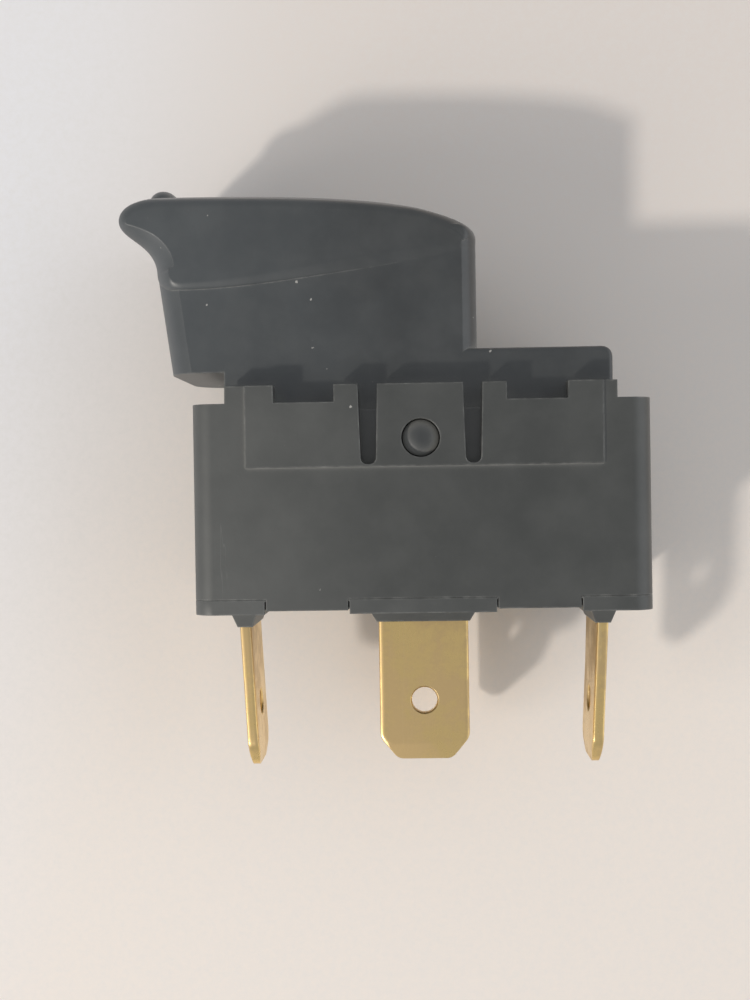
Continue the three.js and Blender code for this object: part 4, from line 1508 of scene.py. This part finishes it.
    def build(self, finishes: dict[str, bpy.types.Material]) -> None:
        """Builds and dresses the row."""
        bar_body, plunger_body = f"{self.row}_bar", f"{self.row}_plunger"
        dressed(self.bar(), finishes["copper"], bar_body)
        dressed(self.plunger(), finishes["acetal"], plunger_body)
        for side in ("left", "right"):
            dressed(self.moving_contact(side), finishes["silver"], bar_body)
            dressed(self.fixed_contact(side), finishes["silver"], "body")
        coil = dressed(self.spring(), finishes["wire"], "rocker")
        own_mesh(coil)


# ---------------------------------------------------------------- the studio


class LampKind(Enum):
    """A far lamp with parallel light, or a panel near the switch."""

    SUN = "SUN"
    PANEL = "AREA"


@dataclass(frozen=True)
class Lamp:
    """A lamp that shines along `way`; `size` is a sun's angle in degrees or a panel's width."""

    name: str
    kind: LampKind
    way: tuple
    power: float
    tint: tuple
    size: float
    place: tuple = (0.0, 0.0, 0.0)


@dataclass
class Studio:
    """Camera, pale paper behind the switch, and soft light from the lower left.

    Fields:
        eye: where the camera stands, in millimetres.
        yaw, pitch: sideways and downward part of its gaze, for each unit along Y.
        roll: its turn about its gaze, in radians.
        lens: its focal length in millimetres, for film whose longer side is 36 mm.
        paper_gap, paper_size: room between the switch and the paper, and the paper's side.
        cool, warm, dull, fibre: colours of the paper: painted light at the upper left, elsewhere, painted
        shade towards the top, and of its fibres.
        air, air_strength: colour and strength of the light from all round.
        lamps: the lamps.
    """

    eye: tuple = (-0.0672, -102.6027, -5.8161)
    yaw: float = 0.0321
    pitch: float = 0.0075
    roll: float = -0.0157
    lens: float = 51.12
    paper_gap: float = 0.02
    paper_size: float = 900.0
    # The paper's cool colour is painted light at the upper left, and its dull colour is painted shade
    # towards the top.
    cool: tuple = colour(0.86, 0.875, 0.91)
    warm: tuple = colour(0.885, 0.81, 0.74)
    dull: tuple = colour(0.765, 0.7, 0.65)
    fibre: tuple = colour(0.78, 0.76, 0.73)
    air: tuple = colour(0.94, 0.96, 1.0)
    air_strength: float = 0.5
    lamps: tuple = (
        Lamp("key", LampKind.SUN, (0.85, 1.0, 0.696), 1.2, (1.0, 0.93, 0.85), 4.2),
        Lamp(
            "low left fill",
            LampKind.PANEL,
            (0.85, 1.0, 0.55),
            0.145,
            (1.0, 0.96, 0.91),
            110.0,
            (-190.0, -170.0, -110.0),
        ),
        Lamp("right fill", LampKind.SUN, (-1.0, 0.4, -0.05), 0.8, (0.96, 0.98, 1.0), 70.0),
        Lamp(
            "back fill",
            LampKind.PANEL,
            (-60.0, -260.0, -90.0),
            0.55,
            (1.0, 0.97, 0.93),
            300.0,
            (60.0, 260.0, 90.0),
        ),
    )

    def camera(self) -> None:
        """Places the camera with its small yaw, pitch and roll."""
        data = bpy.data.cameras.new("camera")
        data.lens = self.lens
        data.sensor_width = 36.0
        data.clip_start = 0.002
        data.clip_end = 5.0
        camera = bpy.data.objects.new("camera", data)
        bpy.context.scene.collection.objects.link(camera)
        forward = Vector((-self.yaw, 1.0, -self.pitch)).normalized()
        right = forward.cross(Vector((0, 0, 1))).normalized()
        up = right.cross(forward)
        level = Matrix((right, up, -forward)).transposed()
        lean = Matrix.Rotation(self.roll, 3, "Z")
        camera.matrix_world = Matrix.Translation(Vector(self.eye) * MM) @ (level @ lean).to_4x4()
        bpy.context.scene.camera = camera

    def paper(self) -> None:
        """The sheet the switch lies on, seen only from its front."""
        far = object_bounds()[1].y + self.paper_gap * MM
        size = self.paper_size * MM / 2
        corners = [(-size, far, -size), (size, far, -size), (size, far, size), (-size, far, size)]
        mesh = bpy.data.meshes.new("paper")
        mesh.from_pydata(corners, [], [(0, 1, 2, 3)])
        sheet = bpy.data.objects.new("paper", mesh)
        bpy.context.scene.collection.objects.link(sheet)
        sheet.visible_shadow = False
        mesh.materials.append(self.paper_material())
        sheet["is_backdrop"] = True

    def paper_material(self) -> bpy.types.Material:
        """Smooth paper with painted light: a cool lit patch towards the upper left, warm elsewhere, and
        painted shade that dulls it towards the top.
        """
        material, w, shader, position = new_material("pale paper")
        parts = w.add("SeparateXYZ", {"Vector": position}).outputs
        # Painted light: the paper's tint turns cool towards the upper left, where the light is brightest.
        wander = w.math("MULTIPLY", w.noise(position, 0.03, 1.0), 12.0)
        slope = w.math("ADD", parts["X"], w.math("MULTIPLY", parts["Z"], -0.4))
        painted_light_warmth = w.ramp(w.math("ADD", slope, wander), -40.0, -2.0)
        tint = w.mix(painted_light_warmth, self.cool, self.warm)
        # Painted shade: the paper turns duller towards the top and the right, where less light falls.
        height = w.math("ADD", parts["Z"], w.math("MULTIPLY", parts["X"], 0.15))
        shaded = w.math("ADD", w.math("MULTIPLY", painted_light_warmth, 0.7), 0.3)
        dull = w.math("MULTIPLY", w.ramp(height, -8.0, 34.0), shaded)
        toned = w.mix(dull, tint, self.dull)
        fibre = w.noise(position, 2.2, 5.0, 0.7)
        spotted = w.mix(w.ramp(fibre, 0.1, 1.4), toned, self.fibre)
        w.feed(shader.inputs["Base Color"], spotted)
        bump = w.add("Bump", {"Strength": 0.25, "Distance": 0.03 * MM, "Height": fibre})
        w.feed(shader.inputs["Normal"], bump.outputs["Normal"])
        shader.inputs["Roughness"].default_value = 0.9
        seen = w.add("LightPath").outputs["Is Camera Ray"]
        behind = w.add("NewGeometry").outputs["Backfacing"]
        clear = w.add("BsdfTransparent")
        choice = w.add("MixShader", {0: w.math("MULTIPLY", seen, behind)})
        w.tree.links.new(shader.outputs[0], choice.inputs[1])
        w.tree.links.new(clear.outputs[0], choice.inputs[2])
        surface = w.tree.nodes["Material Output"].inputs["Surface"]
        w.tree.links.new(choice.outputs[0], surface)
        return material

    def lamp(self, lamp: Lamp) -> None:
        """Adds a lamp."""
        data = bpy.data.lights.new(lamp.name, lamp.kind.value)
        data.energy = lamp.power
        data.color = lamp.tint
        if lamp.kind is LampKind.SUN:
            data.angle = math.radians(lamp.size)
        else:
            data.size = lamp.size * MM
        piece = bpy.data.objects.new(lamp.name, data)
        bpy.context.scene.collection.objects.link(piece)
        turn = Vector(lamp.way).to_track_quat("-Z", "Y").to_matrix().to_4x4()
        piece.matrix_world = Matrix.Translation(Vector(lamp.place) * MM) @ turn

    def light(self) -> None:
        """Key light, fills and the pale surroundings."""
        for lamp in self.lamps:
            self.lamp(lamp)
        world = bpy.data.worlds.new("studio")
        world.use_nodes = True
        air = world.node_tree.nodes["Background"].inputs
        air["Color"].default_value = self.air
        air["Strength"].default_value = self.air_strength
        bpy.context.scene.world = world

    def build(self) -> None:
        """Sets the studio up."""
        self.camera()
        self.paper()
        self.light()
        bpy.context.scene.view_settings.view_transform = "Standard"


def main() -> None:
    """Builds the studio and every piece, in order."""
    logging.basicConfig(level=logging.INFO, format="%(message)s")
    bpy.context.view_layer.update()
    Studio().build()
    Rocker().build(ROCKER_PLASTIC.material())
    Shell().build(HOUSING_PLASTIC.material(), BASE_PLASTIC.material())
    Terminals().build(BLADE_BRASS.material())
    finishes = {
        "copper": BAR_COPPER.material(),
        "silver": CONTACT_SILVER.material(),
        "acetal": PLUNGER_PLASTIC.material(),
        "wire": SPRING_WIRE.material(),
    }
    for row in ("front", "rear"):
        ContactRow(row).build(finishes)


if __name__ == "__main__":
    main()
